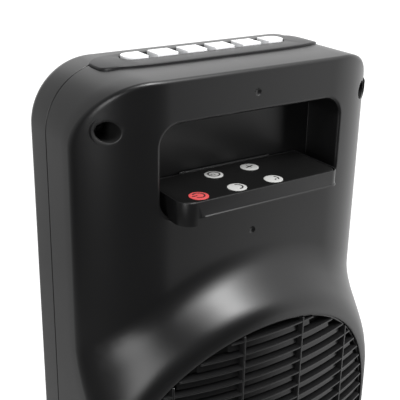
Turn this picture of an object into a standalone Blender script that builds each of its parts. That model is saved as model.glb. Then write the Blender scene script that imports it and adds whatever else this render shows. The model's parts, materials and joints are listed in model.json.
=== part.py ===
"""Oscillating tower heater with a remote control kept in a pocket at the rear.

Units are metres and +Z is up. The origin is on the floor, on the axis the tower swings about.
The front of the heater faces -Y and the rear, with the pocket and the fan's drum, faces +Y.
"""
import math

import bmesh
import bpy
from mathutils import Vector

# Clearances and cutting
CLEARANCE = 0.0003
OVERRUN = 0.002

# Base
BASE_RADIUS = 0.118
BASE_HEIGHT = 0.024
BASE_RIM_HEIGHT = 0.008
BASE_PLATEAU_RADIUS = 0.080
BASE_WALL = 0.0025
BASE_PLATE_THICKNESS = 0.002
FOOT_HEIGHT = 0.002
FOOT_WIDTH = 0.014
FOOT_EDGE_MARGIN = 0.008
BASE_SCREW_EDGE_MARGIN = 0.034
BASE_BOSS_RADIUS = 0.0045
BASE_SCREW_COUNT = 3

# Swivel: a post on the base carries the turntable, and a motor's crank swings it
POST_RADIUS = 0.008
POST_SCREW_DEPTH = 0.012
TURNTABLE_RADIUS = 0.070
TURNTABLE_HEIGHT = 0.0117
TURNTABLE_WALL = 0.003
TURNTABLE_HUB_RADIUS = 0.011
TURNTABLE_HUB_DROP = 0.003
TURNTABLE_BOSS_RADIUS = 0.016
TURNTABLE_BOSS_HEIGHT = 0.010
TURNTABLE_EDGE = 0.001
SLOT_SIDE_PLAY = 0.0014
SLOT_END_PLAY = 0.0034
WASHER_THICKNESS = 0.0015
WASHER_RADIUS = 0.014
PIVOT_HEAD_RADIUS = 0.0105
PIVOT_HEAD_HEIGHT = 0.003
PIVOT_SHANK_RADIUS = 0.0025
CRANK_OFFSET = 0.038
CRANK_THROW = 0.0235
CRANK_EDGE = 0.003
CRANK_THICKNESS = 0.003
CRANK_PIN_RADIUS = 0.0025
CRANK_PIN_HEIGHT = 0.007
CRANK_LIFT = 0.0015
SWING_MOTOR_RADIUS = 0.021
SWING_MOTOR_EAR = 0.006
SWING_MOTOR_EAR_THICKNESS = 0.0015
MOTOR_SHAFT_RADIUS = 0.0025

# Tower: two shells that meet at a seam
TOWER_WIDTH = 0.192
TOWER_HEIGHT = 0.5367
TOP_CORNER_RADIUS = 0.035
BOTTOM_CORNER_RADIUS = 0.012
WALL = 0.0026
SEAM_OFFSET = 0.014
REAR_DEPTH = 0.052
REAR_EDGE_SETBACK = 0.0242
REAR_SHOULDER_WIDTH = 0.043
FRONT_DEPTH = 0.027
FRONT_EDGE_RADIUS = 0.010
LIP_REACH = 0.003
LIP_THICKNESS = 0.0012
LIP_ROOT = 0.006

# Drum round the fan at the rear, and its grille
DRUM_DROP = 0.224
DRUM_REACH = 0.0255
DRUM_PLAN_RADIUS = 0.227
DRUM_LAND = 0.004
DRUM_FLARE = 0.0265
DRUM_SIDE_ROUND = 0.006
GRILLE_SIDE_MARGIN = 0.0075
GRILLE_DEPTH = 0.009
GRILLE_RING_WIDTH = 0.0022
GRILLE_FLANGE_WIDTH = 0.0018
GRILLE_FLANGE_DROP = 0.0066
GRILLE_FLANGE_THICKNESS = 0.002
GRILLE_RECESS = 0.0002
SLAT_PITCH = 0.0106
SLAT_THICKNESS = 0.0013
SLAT_RISE = 0.0036
BAR_SPACING = 0.0393
BAR_WIDTH = 0.0013
BAR_DEPTH = 0.004
BAR_RECESS = 0.00025

# Remote control
REMOTE_LENGTH = 0.0996
REMOTE_WIDTH = 0.0371
REMOTE_CORNER_RADIUS = 0.0046
REMOTE_TOP_DROP = 0.060
REMOTE_FACE_THICKNESS = 0.0004
REMOTE_TOP_CASE_THICKNESS = 0.0013
REMOTE_BOTTOM_CASE_THICKNESS = 0.0041
REMOTE_WALL = 0.0014
REMOTE_FLOOR = 0.0010
REMOTE_BUTTON_RADIUS = 0.00555
REMOTE_BUTTON_PROUD = 0.0004
REMOTE_BUTTON_TRAVEL = 0.0004
REMOTE_BUTTON_STEP = 0.0009
REMOTE_BUTTON_PITCH = 0.02385
REMOTE_BUTTON_ROW_PITCH = 0.0215
REMOTE_BUTTON_END_MARGIN = 0.0125
REMOTE_BUTTON_SIDE_SHIFT = 0.0012
REMOTE_BOARD_THICKNESS = 0.0013
CELL_RADIUS = 0.010
CELL_THICKNESS = 0.0024
CELL_END_MARGIN = 0.0148
CELL_COVER_RADIUS = 0.0115
CELL_COVER_SLOT_WIDTH = 0.0018
CELL_COVER_SLOT_LENGTH = 0.014
CELL_COVER_SLOT_DEPTH = 0.0005

# Tray that holds the remote, and the pocket round it
TRAY_WALL = 0.0013
TRAY_FLOOR = 0.0020
TRAY_LIP_PROUD = 0.0002
TRAY_FRONT_RADIUS = 0.0057
TRAY_BACK_RADIUS = 0.0016
TRAY_RIB_WIDTH = 0.0114
TRAY_FOOT_WIDTH = 0.006
TRAY_FOOT_SETBACK = 0.004
POCKET_GAP_NARROW = 0.0043
POCKET_GAP_WIDE = 0.0089
POCKET_HEADROOM = 0.0373
POCKET_UNDER_TRAY = 0.0043
POCKET_DEPTH = 0.0265
POCKET_CORNER_RADIUS = 0.011
POCKET_WALL = 0.0022

# Control panel and keys on top
PANEL_LENGTH = 0.142
PANEL_WIDTH = 0.031
PANEL_REAR_SETBACK = 0.0295
PANEL_RAISE = 0.0013
PANEL_THICKNESS = 0.0057
PANEL_FLANGE_WIDTH = 0.0025
PANEL_FLANGE_THICKNESS = 0.0015
PANEL_FLANGE_LENGTH = 0.118
PANEL_POST_RADIUS = 0.003
KEY_COUNT = 6
KEY_LENGTH = 0.014
KEY_WIDTH = 0.013
KEY_PITCH = 0.0185
KEY_PROUD = 0.0011
KEY_TRAVEL = 0.0008
KEY_BODY_DEPTH = 0.0045
KEY_EDGE = 0.0005
KEY_STEM_RADIUS = 0.002
KEY_SIDE_PLAY = 0.0004
KEY_REAR_MARGIN = 0.0135
BOARD_THICKNESS = 0.0016
CONTROL_BOARD_DROP = 0.0114
CONTROL_BOARD_LENGTH = 0.128
CONTROL_BOARD_WIDTH = 0.018
SWITCH_SIZE = 0.006
SWITCH_HEIGHT = 0.0035

# Front grille and display
FRONT_GRILLE_WIDTH = 0.142
FRONT_GRILLE_LIFT = 0.070
FRONT_GRILLE_RISE = 0.081
FRONT_GRILLE_CORNER_RADIUS = 0.010
FRONT_GRILLE_FRAME = 0.004
FRONT_GRILLE_DEPTH = 0.0055
FRONT_GRILLE_FLANGE = 0.004
FRONT_GRILLE_FLANGE_THICKNESS = 0.0018
LOUVRE_PITCH = 0.018
LOUVRE_THICKNESS = 0.0016
LOUVRE_DROP = 0.0026
LOUVRE_DEPTH = 0.0045
FRONT_BAR_WIDTH = 0.0024
FRONT_BAR_SPACING = 0.046
DISPLAY_DROP = 0.088
DISPLAY_WIDTH = 0.072
DISPLAY_HEIGHT = 0.034
DISPLAY_CORNER_RADIUS = 0.005
DISPLAY_WINDOW_FLANGE = 0.003
DISPLAY_FLANGE_THICKNESS = 0.0012
DISPLAY_BOARD_MARGIN = 0.013
DISPLAY_BLOCK_DEPTH = 0.0055
DISPLAY_BLOCK_MARGIN = 0.006
DISPLAY_POST_RADIUS = 0.0035

# Fan, its motor and shroud
SHROUD_SETBACK = 0.0215
SHROUD_PLATE_THICKNESS = 0.0025
SHROUD_SIDE_MARGIN = 0.008
SHROUD_RING_DEPTH = 0.024
SHROUD_RING_WALL = 0.0025
SHROUD_SPOKE_WIDTH = 0.007
SHROUD_HUB_RADIUS = 0.032
SHROUD_FRONT_POST_LENGTH = 0.0297
SHROUD_FRONT_POST_RADIUS = 0.004
SHROUD_POST_SIDE_MARGIN = 0.022
FAN_RADIUS = 0.070
FAN_TIP_GAP = 0.006
FAN_HUB_RADIUS = 0.020
FAN_HUB_DEPTH = 0.016
FAN_GAP = 0.0035
FAN_HUB_CAP = 0.002
FAN_BLADE_COUNT = 5
FAN_BLADE_THICKNESS = 0.0014
FAN_ROOT_CHORD = 0.020
FAN_TIP_CHORD = 0.026
FAN_ROOT_ANGLE = 42.0
FAN_TIP_ANGLE = 26.0
FAN_MOTOR_RADIUS = 0.028
FAN_MOTOR_LENGTH = 0.0257
FAN_MOTOR_CAP_RADIUS = 0.012
FAN_MOTOR_CAP_LENGTH = 0.003
FAN_MOTOR_STUD_SPAN = 0.048
SHROUD_REAR_POST_MARGIN = 0.016
SHROUD_REAR_POST_RADIUS = 0.004

# Ceramic heater
HEATER_WIDTH = 0.116
HEATER_HEIGHT = 0.140
HEATER_DEPTH = 0.017
HEATER_FRAME_WALL = 0.006
HEATER_EAR = 0.008
HEATER_EAR_THICKNESS = 0.004
HEATER_EAR_OVERLAP = 0.004
HEATER_CORE_DEPTH = 0.012
HEATER_BAND_COUNT = 3
HEATER_BAND_GAP = 0.003
FIN_PITCH = 0.016
FIN_THICKNESS = 0.0016
FIN_SPINE = 0.003
CUTOFF_RADIUS = 0.005
CUTOFF_LENGTH = 0.006

# Main circuit board
MAIN_BOARD_WIDTH = 0.104
MAIN_BOARD_HEIGHT = 0.088
MAIN_BOARD_LIFT = 0.052
MAIN_BOARD_SETBACK = 0.016
MAIN_BOARD_POST_MARGIN = 0.005
MAIN_BOARD_POST_RADIUS = 0.0035
RELAY_WIDTH = 0.019
RELAY_HEIGHT = 0.015
RELAY_DEPTH = 0.016
RELAY_PITCH = 0.024
TRANSFORMER_WIDTH = 0.030
TRANSFORMER_HEIGHT = 0.026
TRANSFORMER_DEPTH = 0.022
CAPACITOR_RADIUS = 0.006
CAPACITOR_LENGTH = 0.020
PART_EDGE_MARGIN = 0.014

# Tilt switch: a weight on a pin that swings when the heater leans
TILT_OFFSET = 0.051
TILT_SETBACK = 0.028
TILT_WIDTH = 0.022
TILT_DEPTH = 0.024
TILT_HEIGHT = 0.030
TILT_WALL = 0.002
TILT_PIN_RADIUS = 0.0015
TILT_PIN_DROP = 0.005
TILT_BORE_PLAY = 0.0003
TILT_EYE_RADIUS = 0.0035
TILT_WEIGHT_RADIUS = 0.0055
TILT_ARM_LENGTH = 0.013
TILT_ARM_WIDTH = 0.003
TILT_SIDE_PLAY = 0.001

# Screws
SCREW_HEAD_RADIUS = 0.004
SCREW_HEAD_HEIGHT = 0.0022
SCREW_RADIUS = 0.0016
SCREW_HOLE_RADIUS = 0.0019
SCREW_BITE = 0.008
STAKE_RADIUS = 0.0014
STAKE_HOLE_RADIUS = 0.0018
STAKE_HEAD_RADIUS = 0.0028
STAKE_HEAD_HEIGHT = 0.0012
CASE_SCREW_SIDE_MARGIN = 0.014
CASE_SCREW_END_MARGIN = 0.024
COUNTERBORE_RADIUS = 0.0055
COUNTERBORE_SETBACK = 0.024
COUNTERBORE_FLOOR = 0.0025
COUNTERBORE_WALL = 0.002
CASE_POST_RADIUS = 0.0045
TURNTABLE_SCREW_X = 0.028
TURNTABLE_SCREW_Y = 0.022
FLOOR_BOSS_HEIGHT = 0.007
DIMPLE_RADIUS = 0.0012
DIMPLE_DEPTH = 0.0006
DIMPLE_GAP = 0.0101
DIMPLE_LOWER_GAP = 0.0171

# Cord gland
GLAND_OFFSET = 0.040
GLAND_LIFT = 0.028
GLAND_RADIUS = 0.0065
GLAND_BORE_RADIUS = 0.0036
GLAND_FLANGE_RADIUS = 0.0085
GLAND_FLANGE_THICKNESS = 0.0020
GLAND_PROUD = 0.004

# Numbers of facets
CORNER_STEPS = 4
ROUND_STEPS = 18
SMALL_STEPS = 10
BUTTON_STEPS = 14
TINY_STEPS = 6
DRUM_STEPS = 40
DRUM_ROWS = 18
FLAT_COLUMNS = 3
SLAT_STEPS = 4

# Levels worked out from the sizes above
PLATE_LOW = FOOT_HEIGHT + CLEARANCE
PLATE_HIGH = PLATE_LOW + BASE_PLATE_THICKNESS
PLATEAU_UNDER = BASE_HEIGHT - BASE_WALL
TURNTABLE_LOW = BASE_HEIGHT + CLEARANCE
TURNTABLE_HIGH = TURNTABLE_LOW + TURNTABLE_HEIGHT
BOSS_HIGH = TURNTABLE_HIGH + TURNTABLE_BOSS_HEIGHT
WASHER_LOW = BOSS_HIGH + CLEARANCE
WASHER_HIGH = WASHER_LOW + WASHER_THICKNESS
POST_HIGH = WASHER_HIGH + CLEARANCE
TOWER_LOW = TURNTABLE_HIGH + CLEARANCE
TOWER_HIGH = TOWER_LOW + TOWER_HEIGHT
FLOOR_HIGH = TOWER_LOW + WALL
HALF_WIDTH = TOWER_WIDTH / 2
SEAM_Y = -SEAM_OFFSET
REAR_Y = SEAM_Y + REAR_DEPTH
FRONT_Y = SEAM_Y - FRONT_DEPTH
REAR_FLAT_HALF = HALF_WIDTH - REAR_SHOULDER_WIDTH
REAR_ARC_RADIUS = (REAR_SHOULDER_WIDTH ** 2 + REAR_EDGE_SETBACK ** 2) / (2 * REAR_EDGE_SETBACK)
DRUM_Z = TOWER_HIGH - DRUM_DROP
DRUM_Y = REAR_Y + DRUM_REACH
HOLE_RADIUS = HALF_WIDTH - GRILLE_SIDE_MARGIN
FACE_RADIUS = HOLE_RADIUS + DRUM_LAND
DRUM_BASE_RADIUS = FACE_RADIUS + DRUM_FLARE
REMOTE_HIGH = TOWER_HIGH - REMOTE_TOP_DROP
REMOTE_TOP_CASE_HIGH = REMOTE_HIGH - REMOTE_FACE_THICKNESS - CLEARANCE
REMOTE_SPLIT = REMOTE_TOP_CASE_HIGH - REMOTE_TOP_CASE_THICKNESS
REMOTE_BOTTOM_CASE_HIGH = REMOTE_SPLIT - CLEARANCE
REMOTE_LOW = REMOTE_BOTTOM_CASE_HIGH - REMOTE_BOTTOM_CASE_THICKNESS
REMOTE_FLOOR_HIGH = REMOTE_LOW + REMOTE_FLOOR
REMOTE_BOARD_LOW = REMOTE_FLOOR_HIGH + CLEARANCE
REMOTE_BOARD_HIGH = REMOTE_BOARD_LOW + REMOTE_BOARD_THICKNESS
REMOTE_BUTTON_HIGH = REMOTE_HIGH + REMOTE_BUTTON_PROUD
TRAY_FLOOR_HIGH = REMOTE_LOW - CLEARANCE
TRAY_LOW = TRAY_FLOOR_HIGH - TRAY_FLOOR
TRAY_HIGH = REMOTE_HIGH + TRAY_LIP_PROUD
POCKET_LOW = TRAY_LOW - POCKET_UNDER_TRAY
POCKET_HIGH = REMOTE_HIGH + POCKET_HEADROOM
POCKET_BACK = REAR_Y - POCKET_DEPTH
TRAY_LENGTH = REMOTE_LENGTH + 2 * CLEARANCE + 2 * TRAY_WALL
TRAY_WIDTH = REMOTE_WIDTH + 2 * CLEARANCE + 2 * TRAY_WALL
POCKET_WIDTH = TRAY_LENGTH + POCKET_GAP_NARROW + POCKET_GAP_WIDE
TRAY_X = (POCKET_GAP_WIDE - POCKET_GAP_NARROW) / 2
TRAY_BACK = POCKET_BACK + CLEARANCE
TRAY_FRONT = TRAY_BACK + TRAY_WIDTH
REMOTE_Y = TRAY_BACK + TRAY_WIDTH / 2
PANEL_Y = REAR_Y - PANEL_REAR_SETBACK - PANEL_WIDTH / 2
PANEL_LOW = TOWER_HIGH + PANEL_RAISE - PANEL_THICKNESS
KEY_Y = PANEL_Y + PANEL_WIDTH / 2 - KEY_REAR_MARGIN - KEY_WIDTH / 2
KEY_HIGH = TOWER_HIGH + PANEL_RAISE + KEY_PROUD
KEY_LOW = KEY_HIGH - KEY_BODY_DEPTH
CONTROL_BOARD_HIGH = TOWER_HIGH - CONTROL_BOARD_DROP
DISPLAY_Z = TOWER_HIGH - DISPLAY_DROP
FRONT_INNER_Y = FRONT_Y + WALL
GRILLE_TOP = DRUM_Z + FRONT_GRILLE_RISE
GRILLE_BOTTOM = TOWER_LOW + FRONT_GRILLE_LIFT
SHROUD_Y = REAR_Y - SHROUD_SETBACK
SHROUD_FRONT_Y = SHROUD_Y - SHROUD_PLATE_THICKNESS
SHROUD_HALF_WIDTH = HALF_WIDTH - SHROUD_SIDE_MARGIN
SHROUD_RING_RADIUS = FAN_RADIUS + FAN_TIP_GAP
FAN_Y = SHROUD_Y + FAN_GAP
HEATER_BACK = SHROUD_FRONT_Y - SHROUD_FRONT_POST_LENGTH - CLEARANCE
HEATER_FRONT = HEATER_BACK - HEATER_DEPTH
HEATER_POST_X = HEATER_WIDTH / 2 + HEATER_EAR - HEATER_EAR_OVERLAP
HEATER_POST_Z = HEATER_HEIGHT / 2 - HEATER_EAR_OVERLAP
REAR_POST_X = SHROUD_HALF_WIDTH - (SHROUD_REAR_POST_MARGIN - SHROUD_SIDE_MARGIN)
REAR_POST_Z = SHROUD_HALF_WIDTH - (SHROUD_REAR_POST_MARGIN - SHROUD_SIDE_MARGIN)
MAIN_BOARD_Y = REAR_Y - WALL - MAIN_BOARD_SETBACK + CLEARANCE
MAIN_BOARD_Z = FLOOR_HIGH + MAIN_BOARD_LIFT + MAIN_BOARD_HEIGHT / 2
CASE_SCREW_X = HALF_WIDTH - CASE_SCREW_SIDE_MARGIN
CASE_SCREW_LEVELS = (TOWER_HIGH - CASE_SCREW_END_MARGIN, TOWER_LOW + CASE_SCREW_END_MARGIN)
COUNTERBORE_Y = REAR_Y - COUNTERBORE_SETBACK
CASE_POST_END = COUNTERBORE_Y - COUNTERBORE_FLOOR - CLEARANCE
TILT_PIN_Z = FLOOR_HIGH + CLEARANCE + TILT_HEIGHT - TILT_PIN_DROP
TILT_Y = REAR_Y - TILT_SETBACK
BUTTON_SPOTS = tuple(
    (TRAY_X + REMOTE_LENGTH / 2 - REMOTE_BUTTON_END_MARGIN - column * REMOTE_BUTTON_PITCH,
     REMOTE_Y + REMOTE_BUTTON_SIDE_SHIFT + side * REMOTE_BUTTON_ROW_PITCH / 2)
    for column, side in ((0, 1), (1, 1), (2, 1), (1, -1), (2, -1)))
CELL_X = TRAY_X - REMOTE_LENGTH / 2 + CELL_END_MARGIN

# Colours, as linear red, green and blue, then roughness and metallic
BLACK_PLASTIC = ((0.030, 0.030, 0.031), 0.42, 0.0)
PANEL_PLASTIC = ((0.045, 0.045, 0.048), 0.38, 0.0)
INNER_PLASTIC = ((0.020, 0.020, 0.020), 0.55, 0.0)
SILVER_PLASTIC = ((0.72, 0.72, 0.74), 0.35, 0.1)
RED_PLASTIC = ((0.85, 0.07, 0.06), 0.35, 0.0)
GLOSS_BLACK = ((0.012, 0.011, 0.010), 0.12, 0.0)
SMOKED = ((0.015, 0.012, 0.012), 0.08, 0.0)
RUBBER = ((0.025, 0.025, 0.025), 0.85, 0.0)
STEEL = ((0.55, 0.55, 0.56), 0.35, 1.0)
DARK_STEEL = ((0.16, 0.16, 0.17), 0.45, 1.0)
ALUMINIUM = ((0.75, 0.76, 0.77), 0.38, 1.0)
GREEN_BOARD = ((0.02, 0.16, 0.06), 0.5, 0.0)
TAN_RESIN = ((0.55, 0.47, 0.33), 0.6, 0.0)


def spot(axis, across, up, along):
    """Give the point at (across, up) in the plane square to an axis, at along on that axis."""
    if axis == "X":
        return Vector((along, across, up))
    if axis == "Y":
        return Vector((across, along, up))
    return Vector((across, up, along))


def solid(points, faces):
    """Make an object from points and faces, with its faces pointing out."""
    mesh = bpy.data.meshes.new("solid")
    mesh.from_pydata([tuple(point) for point in points], [], faces)
    shape = bmesh.new()
    shape.from_mesh(mesh)
    bmesh.ops.recalc_face_normals(shape, faces=shape.faces)
    shape.to_mesh(mesh)
    shape.free()
    item = bpy.data.objects.new("solid", mesh)
    bpy.context.scene.collection.objects.link(item)
    return item


def loft(sections, closed=False):
    """Skin a row of closed loops, capped at both ends or joined from the last to the first."""
    count = len(sections[0])
    points = [point for section in sections for point in section]
    faces = []
    pairs = [(index, index + 1) for index in range(len(sections) - 1)]
    if closed:
        pairs.append((len(sections) - 1, 0))
    for near, far in pairs:
        for step in range(count):
            after = (step + 1) % count
            faces.append((near * count + step, near * count + after,
                          far * count + after, far * count + step))
    if not closed:
        faces.append(tuple(range(count)))
        faces.append(tuple(reversed(range(len(points) - count, len(points)))))
    return solid(points, faces)


def lathe(profile, axis="Z", centre=(0.0, 0.0), steps=ROUND_STEPS, closed=False):
    """Turn a profile of (radius, along) points about an axis. A radius of zero makes a pole."""
    points = []
    rings = []
    for radius, along in profile:
        if radius == 0:
            rings.append([len(points)] * steps)
            points.append(spot(axis, centre[0], centre[1], along))
            continue
        rings.append(list(range(len(points), len(points) + steps)))
        for step in range(steps):
            turn = 2 * math.pi * step / steps
            points.append(spot(axis, centre[0] + radius * math.cos(turn),
                               centre[1] + radius * math.sin(turn), along))
    pairs = list(zip(rings, rings[1:]))
    if closed:
        pairs.append((rings[-1], rings[0]))
    faces = []
    for near, far in pairs:
        for step in range(steps):
            after = (step + 1) % steps
            corners = (near[step], near[after], far[after], far[step])
            face = tuple(dict.fromkeys(corners))
            if len(face) > 2:
                faces.append(face)
    return solid(points, faces)


def rod(radius, start, end, axis="Z", centre=(0.0, 0.0), steps=SMALL_STEPS):
    """Make a solid cylinder."""
    return lathe([(0, start), (radius, start), (radius, end), (0, end)], axis, centre, steps)


def tube(inner, outer, start, end, axis="Z", centre=(0.0, 0.0), steps=ROUND_STEPS):
    """Make a cylinder with a through bore."""
    return lathe([(inner, start), (outer, start), (outer, end), (inner, end)], axis, centre,
                 steps, closed=True)


def prism(outline, axis, start, end):
    """Extrude a closed outline along an axis."""
    return loft([[spot(axis, across, up, along) for across, up in outline]
                 for along in (start, end)])


def box(low, high):
    """Make a box between two corners."""
    outline = [(low[0], low[1]), (high[0], low[1]), (high[0], high[1]), (low[0], high[1])]
    return prism(outline, "Z", low[2], high[2])


def group(items):
    """Put separate bodies into one object, without joining them."""
    shape = bmesh.new()
    for item in items:
        shape.from_mesh(item.data)
        bpy.data.objects.remove(item)
    mesh = bpy.data.meshes.new("group")
    shape.to_mesh(mesh)
    shape.free()
    result = bpy.data.objects.new("group", mesh)
    bpy.context.scene.collection.objects.link(result)
    return result


def copy_of(item):
    """Copy an object with a mesh of its own."""
    twin = bpy.data.objects.new("copy", item.data.copy())
    bpy.context.scene.collection.objects.link(twin)
    return twin


def combine(target, tools, operation, solver="EXACT"):
    """Join, cut or intersect an object with tools, which are used up."""
    tool = group(tools)
    step = target.modifiers.new("combine", "BOOLEAN")
    step.operation = operation
    step.solver = solver
    step.object = tool
    bpy.context.view_layer.update()
    graph = bpy.context.evaluated_depsgraph_get()
    mesh = bpy.data.meshes.new_from_object(target.evaluated_get(graph))
    target.modifiers.clear()
    target.data = mesh
    bpy.data.objects.remove(tool)
    return target


def join(target, *tools):
    """Join tools to an object."""
    return combine(target, tools, "UNION")


def cut(target, *tools, solver="EXACT"):
    """Cut tools out of an object."""
    return combine(target, tools, "DIFFERENCE", solver)


def carrier(name, place, parent=None):
    """Make an empty on a joint's axis, which carries the pieces that move with it."""
    empty = bpy.data.objects.new(name, None)
    bpy.context.scene.collection.objects.link(empty)
    empty["place"] = place
    start = Vector((0.0, 0.0, 0.0))
    if parent:
        empty.parent = parent
        start = Vector(parent["place"])
    empty.location = Vector(place) - start
    return empty


def finish(item, name, look, held_by):
    """Name a piece, shade it, give it its own material and hang it on its carrier."""
    colour, roughness, metallic = look
    item.name = name
    item.data.name = name
    origin = Vector(held_by["place"])
    for vertex in item.data.vertices:
        vertex.co -= origin
    item.parent = held_by
    item.data.shade_smooth()
    item.data.set_sharp_from_angle(angle=math.radians(32))
    paint = bpy.data.materials.new(name + "_finish")
    paint.use_nodes = True
    surface = paint.node_tree.nodes["Principled BSDF"]
    surface.inputs["Base Color"].default_value = (*colour, 1)
    surface.inputs["Roughness"].default_value = roughness
    surface.inputs["Metallic"].default_value = metallic
    item.data.materials.clear()
    item.data.materials.append(paint)
    return item


def arc(centre, radius, start, sweep, steps):
    """Give points on an arc, with angles in degrees."""
    points = []
    for step in range(steps + 1):
        turn = math.radians(start + sweep * step / steps)
        points.append((centre[0] + radius * math.cos(turn), centre[1] + radius * math.sin(turn)))
    return points


def rounded_rectangle(low, high, lower_radius, upper_radius, steps=CORNER_STEPS):
    """Give a rectangle's outline with round corners, counterclockwise from the lower right."""
    right, left = high[0], low[0]
    lower, upper = low[1] + lower_radius, high[1] - upper_radius
    outline = arc((right - lower_radius, lower), lower_radius, -90, 90, steps)
    outline += arc((right - upper_radius, upper), upper_radius, 0, 90, steps)
    outline += arc((left + upper_radius, upper), upper_radius, 90, 90, steps)
    outline += arc((left + lower_radius, lower), lower_radius, 180, 90, steps)
    return outline


def tower_outline(inset):
    """Give the tower's outline seen from the front, drawn in by an inset."""
    low = (inset - HALF_WIDTH, TOWER_LOW + inset)
    high = (HALF_WIDTH - inset, TOWER_HIGH - inset)
    return rounded_rectangle(low, high, BOTTOM_CORNER_RADIUS - inset, TOP_CORNER_RADIUS - inset)


def tower_section(inset, along):
    """Give the tower's outline as points in space at one depth."""
    return [spot("Y", across, up, along) for across, up in tower_outline(inset)]


def rear_y(across, inset):
    """Give the depth of the rear face, flat in the middle with a round shoulder each side."""
    past_flat = abs(across) - REAR_FLAT_HALF
    if past_flat <= 0:
        return REAR_Y - inset
    radius = REAR_ARC_RADIUS - inset
    return REAR_Y - REAR_ARC_RADIUS + math.sqrt(radius ** 2 - past_flat ** 2)


def drum_face_y(across):
    """Give the depth of the drum's face, which is round in plan."""
    return DRUM_Y - across ** 2 / (2 * DRUM_PLAN_RADIUS)


def back_y(across, level, inset):
    """Give the depth of the rear, which swells into a drum: a face with a soft flare round it."""
    radius = math.hypot(across, level - DRUM_Z)
    past_side = abs(across) + inset - (HALF_WIDTH - DRUM_SIDE_ROUND)
    past_side = min(max(past_side, 0), DRUM_SIDE_ROUND)
    side_drop = DRUM_SIDE_ROUND - math.sqrt(DRUM_SIDE_ROUND ** 2 - past_side ** 2)
    face = drum_face_y(across) - inset - side_drop
    rear = rear_y(across, inset)
    share = min(max((radius + inset - FACE_RADIUS) / DRUM_FLARE, 0), 1)
    return rear + (face - rear) * (1 + math.cos(math.pi * share)) / 2


def rear_columns(inset):
    """Give places across the rear, from side to side."""
    reach = HALF_WIDTH + OVERRUN
    radius = REAR_ARC_RADIUS - inset
    sweep = math.asin(min((reach - REAR_FLAT_HALF) / radius, 1))
    half = [REAR_FLAT_HALF * step / FLAT_COLUMNS for step in range(1, FLAT_COLUMNS + 1)]
    half += [REAR_FLAT_HALF + radius * math.sin(sweep * step / (CORNER_STEPS + 2))
             for step in range(1, CORNER_STEPS + 3)]
    return [-across for across in reversed(half)] + [0.0] + half


def rear_block(inset, start):
    """Make the space inside the rear face, drawn in by an inset, from a depth to the rear."""
    columns = rear_columns(inset)
    rows = [TOWER_LOW - OVERRUN]
    rows += [DRUM_Z + DRUM_BASE_RADIUS * (2 * step / DRUM_ROWS - 1) for step in range(DRUM_ROWS + 1)]
    rows.append(TOWER_HIGH + OVERRUN)
    sections = []
    for level in rows:
        section = [Vector((columns[-1], start, level)), Vector((columns[0], start, level))]
        section += [Vector((across, back_y(across, level, inset), level)) for across in columns]
        sections.append(section)
    block = loft(sections)
    limit = prism(tower_outline(inset), "Y", start - OVERRUN, DRUM_Y + OVERRUN)
    return combine(block, [limit], "INTERSECT")


def stepped_hole(axis, centre, levels, steps=SMALL_STEPS):
    """Make a cutter for a hole whose radius changes: levels are (radius, start, end)."""
    profile = [(0, levels[0][1])]
    for radius, start, end in levels:
        profile += [(radius, start), (radius, end)]
    profile.append((0, levels[-1][2]))
    return lathe(profile, axis, centre, steps)


def screw(axis, centre, seat, head_radius, head_height, radius, length, way):
    """Make a pan head screw: its head stands on a seat, and its shank runs the way given."""
    profile = [(0, seat - way * head_height), (head_radius, seat - way * head_height),
               (head_radius, seat), (radius, seat), (radius, seat + way * length),
               (0, seat + way * length)]
    return lathe(profile, axis, centre, SMALL_STEPS)


def stake(axis, centre, root, seat, way, thickness, radius, steps=TINY_STEPS):
    """Make a post that ends at a seat, with a pin through the piece there and a melted head."""
    far = seat + way * (thickness + 2 * CLEARANCE)
    tip = far + way * STAKE_HEAD_HEIGHT
    profile = [(0, root), (radius, root), (radius, seat), (STAKE_RADIUS, seat),
               (STAKE_RADIUS, far), (STAKE_HEAD_RADIUS, far), (STAKE_RADIUS, tip), (0, tip)]
    return lathe(profile, axis, centre, steps)


def add_screws(axis, places, name, held_by, seat, head, shank, length, way):
    """Build a set of equal screws, each its own piece. Head and shank are sizes of the kind."""
    for index, place in enumerate(places):
        item = screw(axis, place, seat, head[0], head[1], shank, length, way)
        finish(item, f"{name}_{index + 1}", STEEL, held_by)


def panel_outline(extra):
    """Give the control panel's outline in plan, a rectangle swelled towards an oval."""
    points = []
    power = 2 / 4
    steps = ROUND_STEPS + SMALL_STEPS
    for step in range(steps):
        turn = 2 * math.pi * step / steps
        cosine, sine = math.cos(turn), math.sin(turn)
        across = math.copysign(abs(cosine) ** power, cosine) * (PANEL_LENGTH / 2 + extra)
        depth = math.copysign(abs(sine) ** power, sine) * (PANEL_WIDTH / 2 + extra)
        points.append((across, PANEL_Y + depth))
    return points


def panel_opening():
    """Make the cutter for the control panel's opening, which spans the seam."""
    return prism(panel_outline(CLEARANCE), "Z", PANEL_LOW - OVERRUN, TOWER_HIGH + OVERRUN)


def corner_spots(half_x, low_z, high_z):
    """Give four places, left and right at two levels."""
    return [(side * half_x, level) for side in (1, -1) for level in (low_z, high_z)]


def case_screw_spots():
    """Give the places of the screws that hold the shells together."""
    return corner_spots(CASE_SCREW_X, CASE_SCREW_LEVELS[1], CASE_SCREW_LEVELS[0])


def shroud_screw_spots():
    """Give the places of the posts that carry the fan's shroud."""
    return corner_spots(REAR_POST_X, DRUM_Z - REAR_POST_Z, DRUM_Z + REAR_POST_Z)


def heater_spots():
    """Give the places of the posts that carry the heater."""
    return corner_spots(HEATER_POST_X, DRUM_Z - HEATER_POST_Z, DRUM_Z + HEATER_POST_Z)


def board_spots():
    """Give the places of the posts that carry the main board."""
    half_x = MAIN_BOARD_WIDTH / 2 - MAIN_BOARD_POST_MARGIN
    half_z = MAIN_BOARD_HEIGHT / 2 - MAIN_BOARD_POST_MARGIN
    return corner_spots(half_x, MAIN_BOARD_Z - half_z, MAIN_BOARD_Z + half_z)


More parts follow.
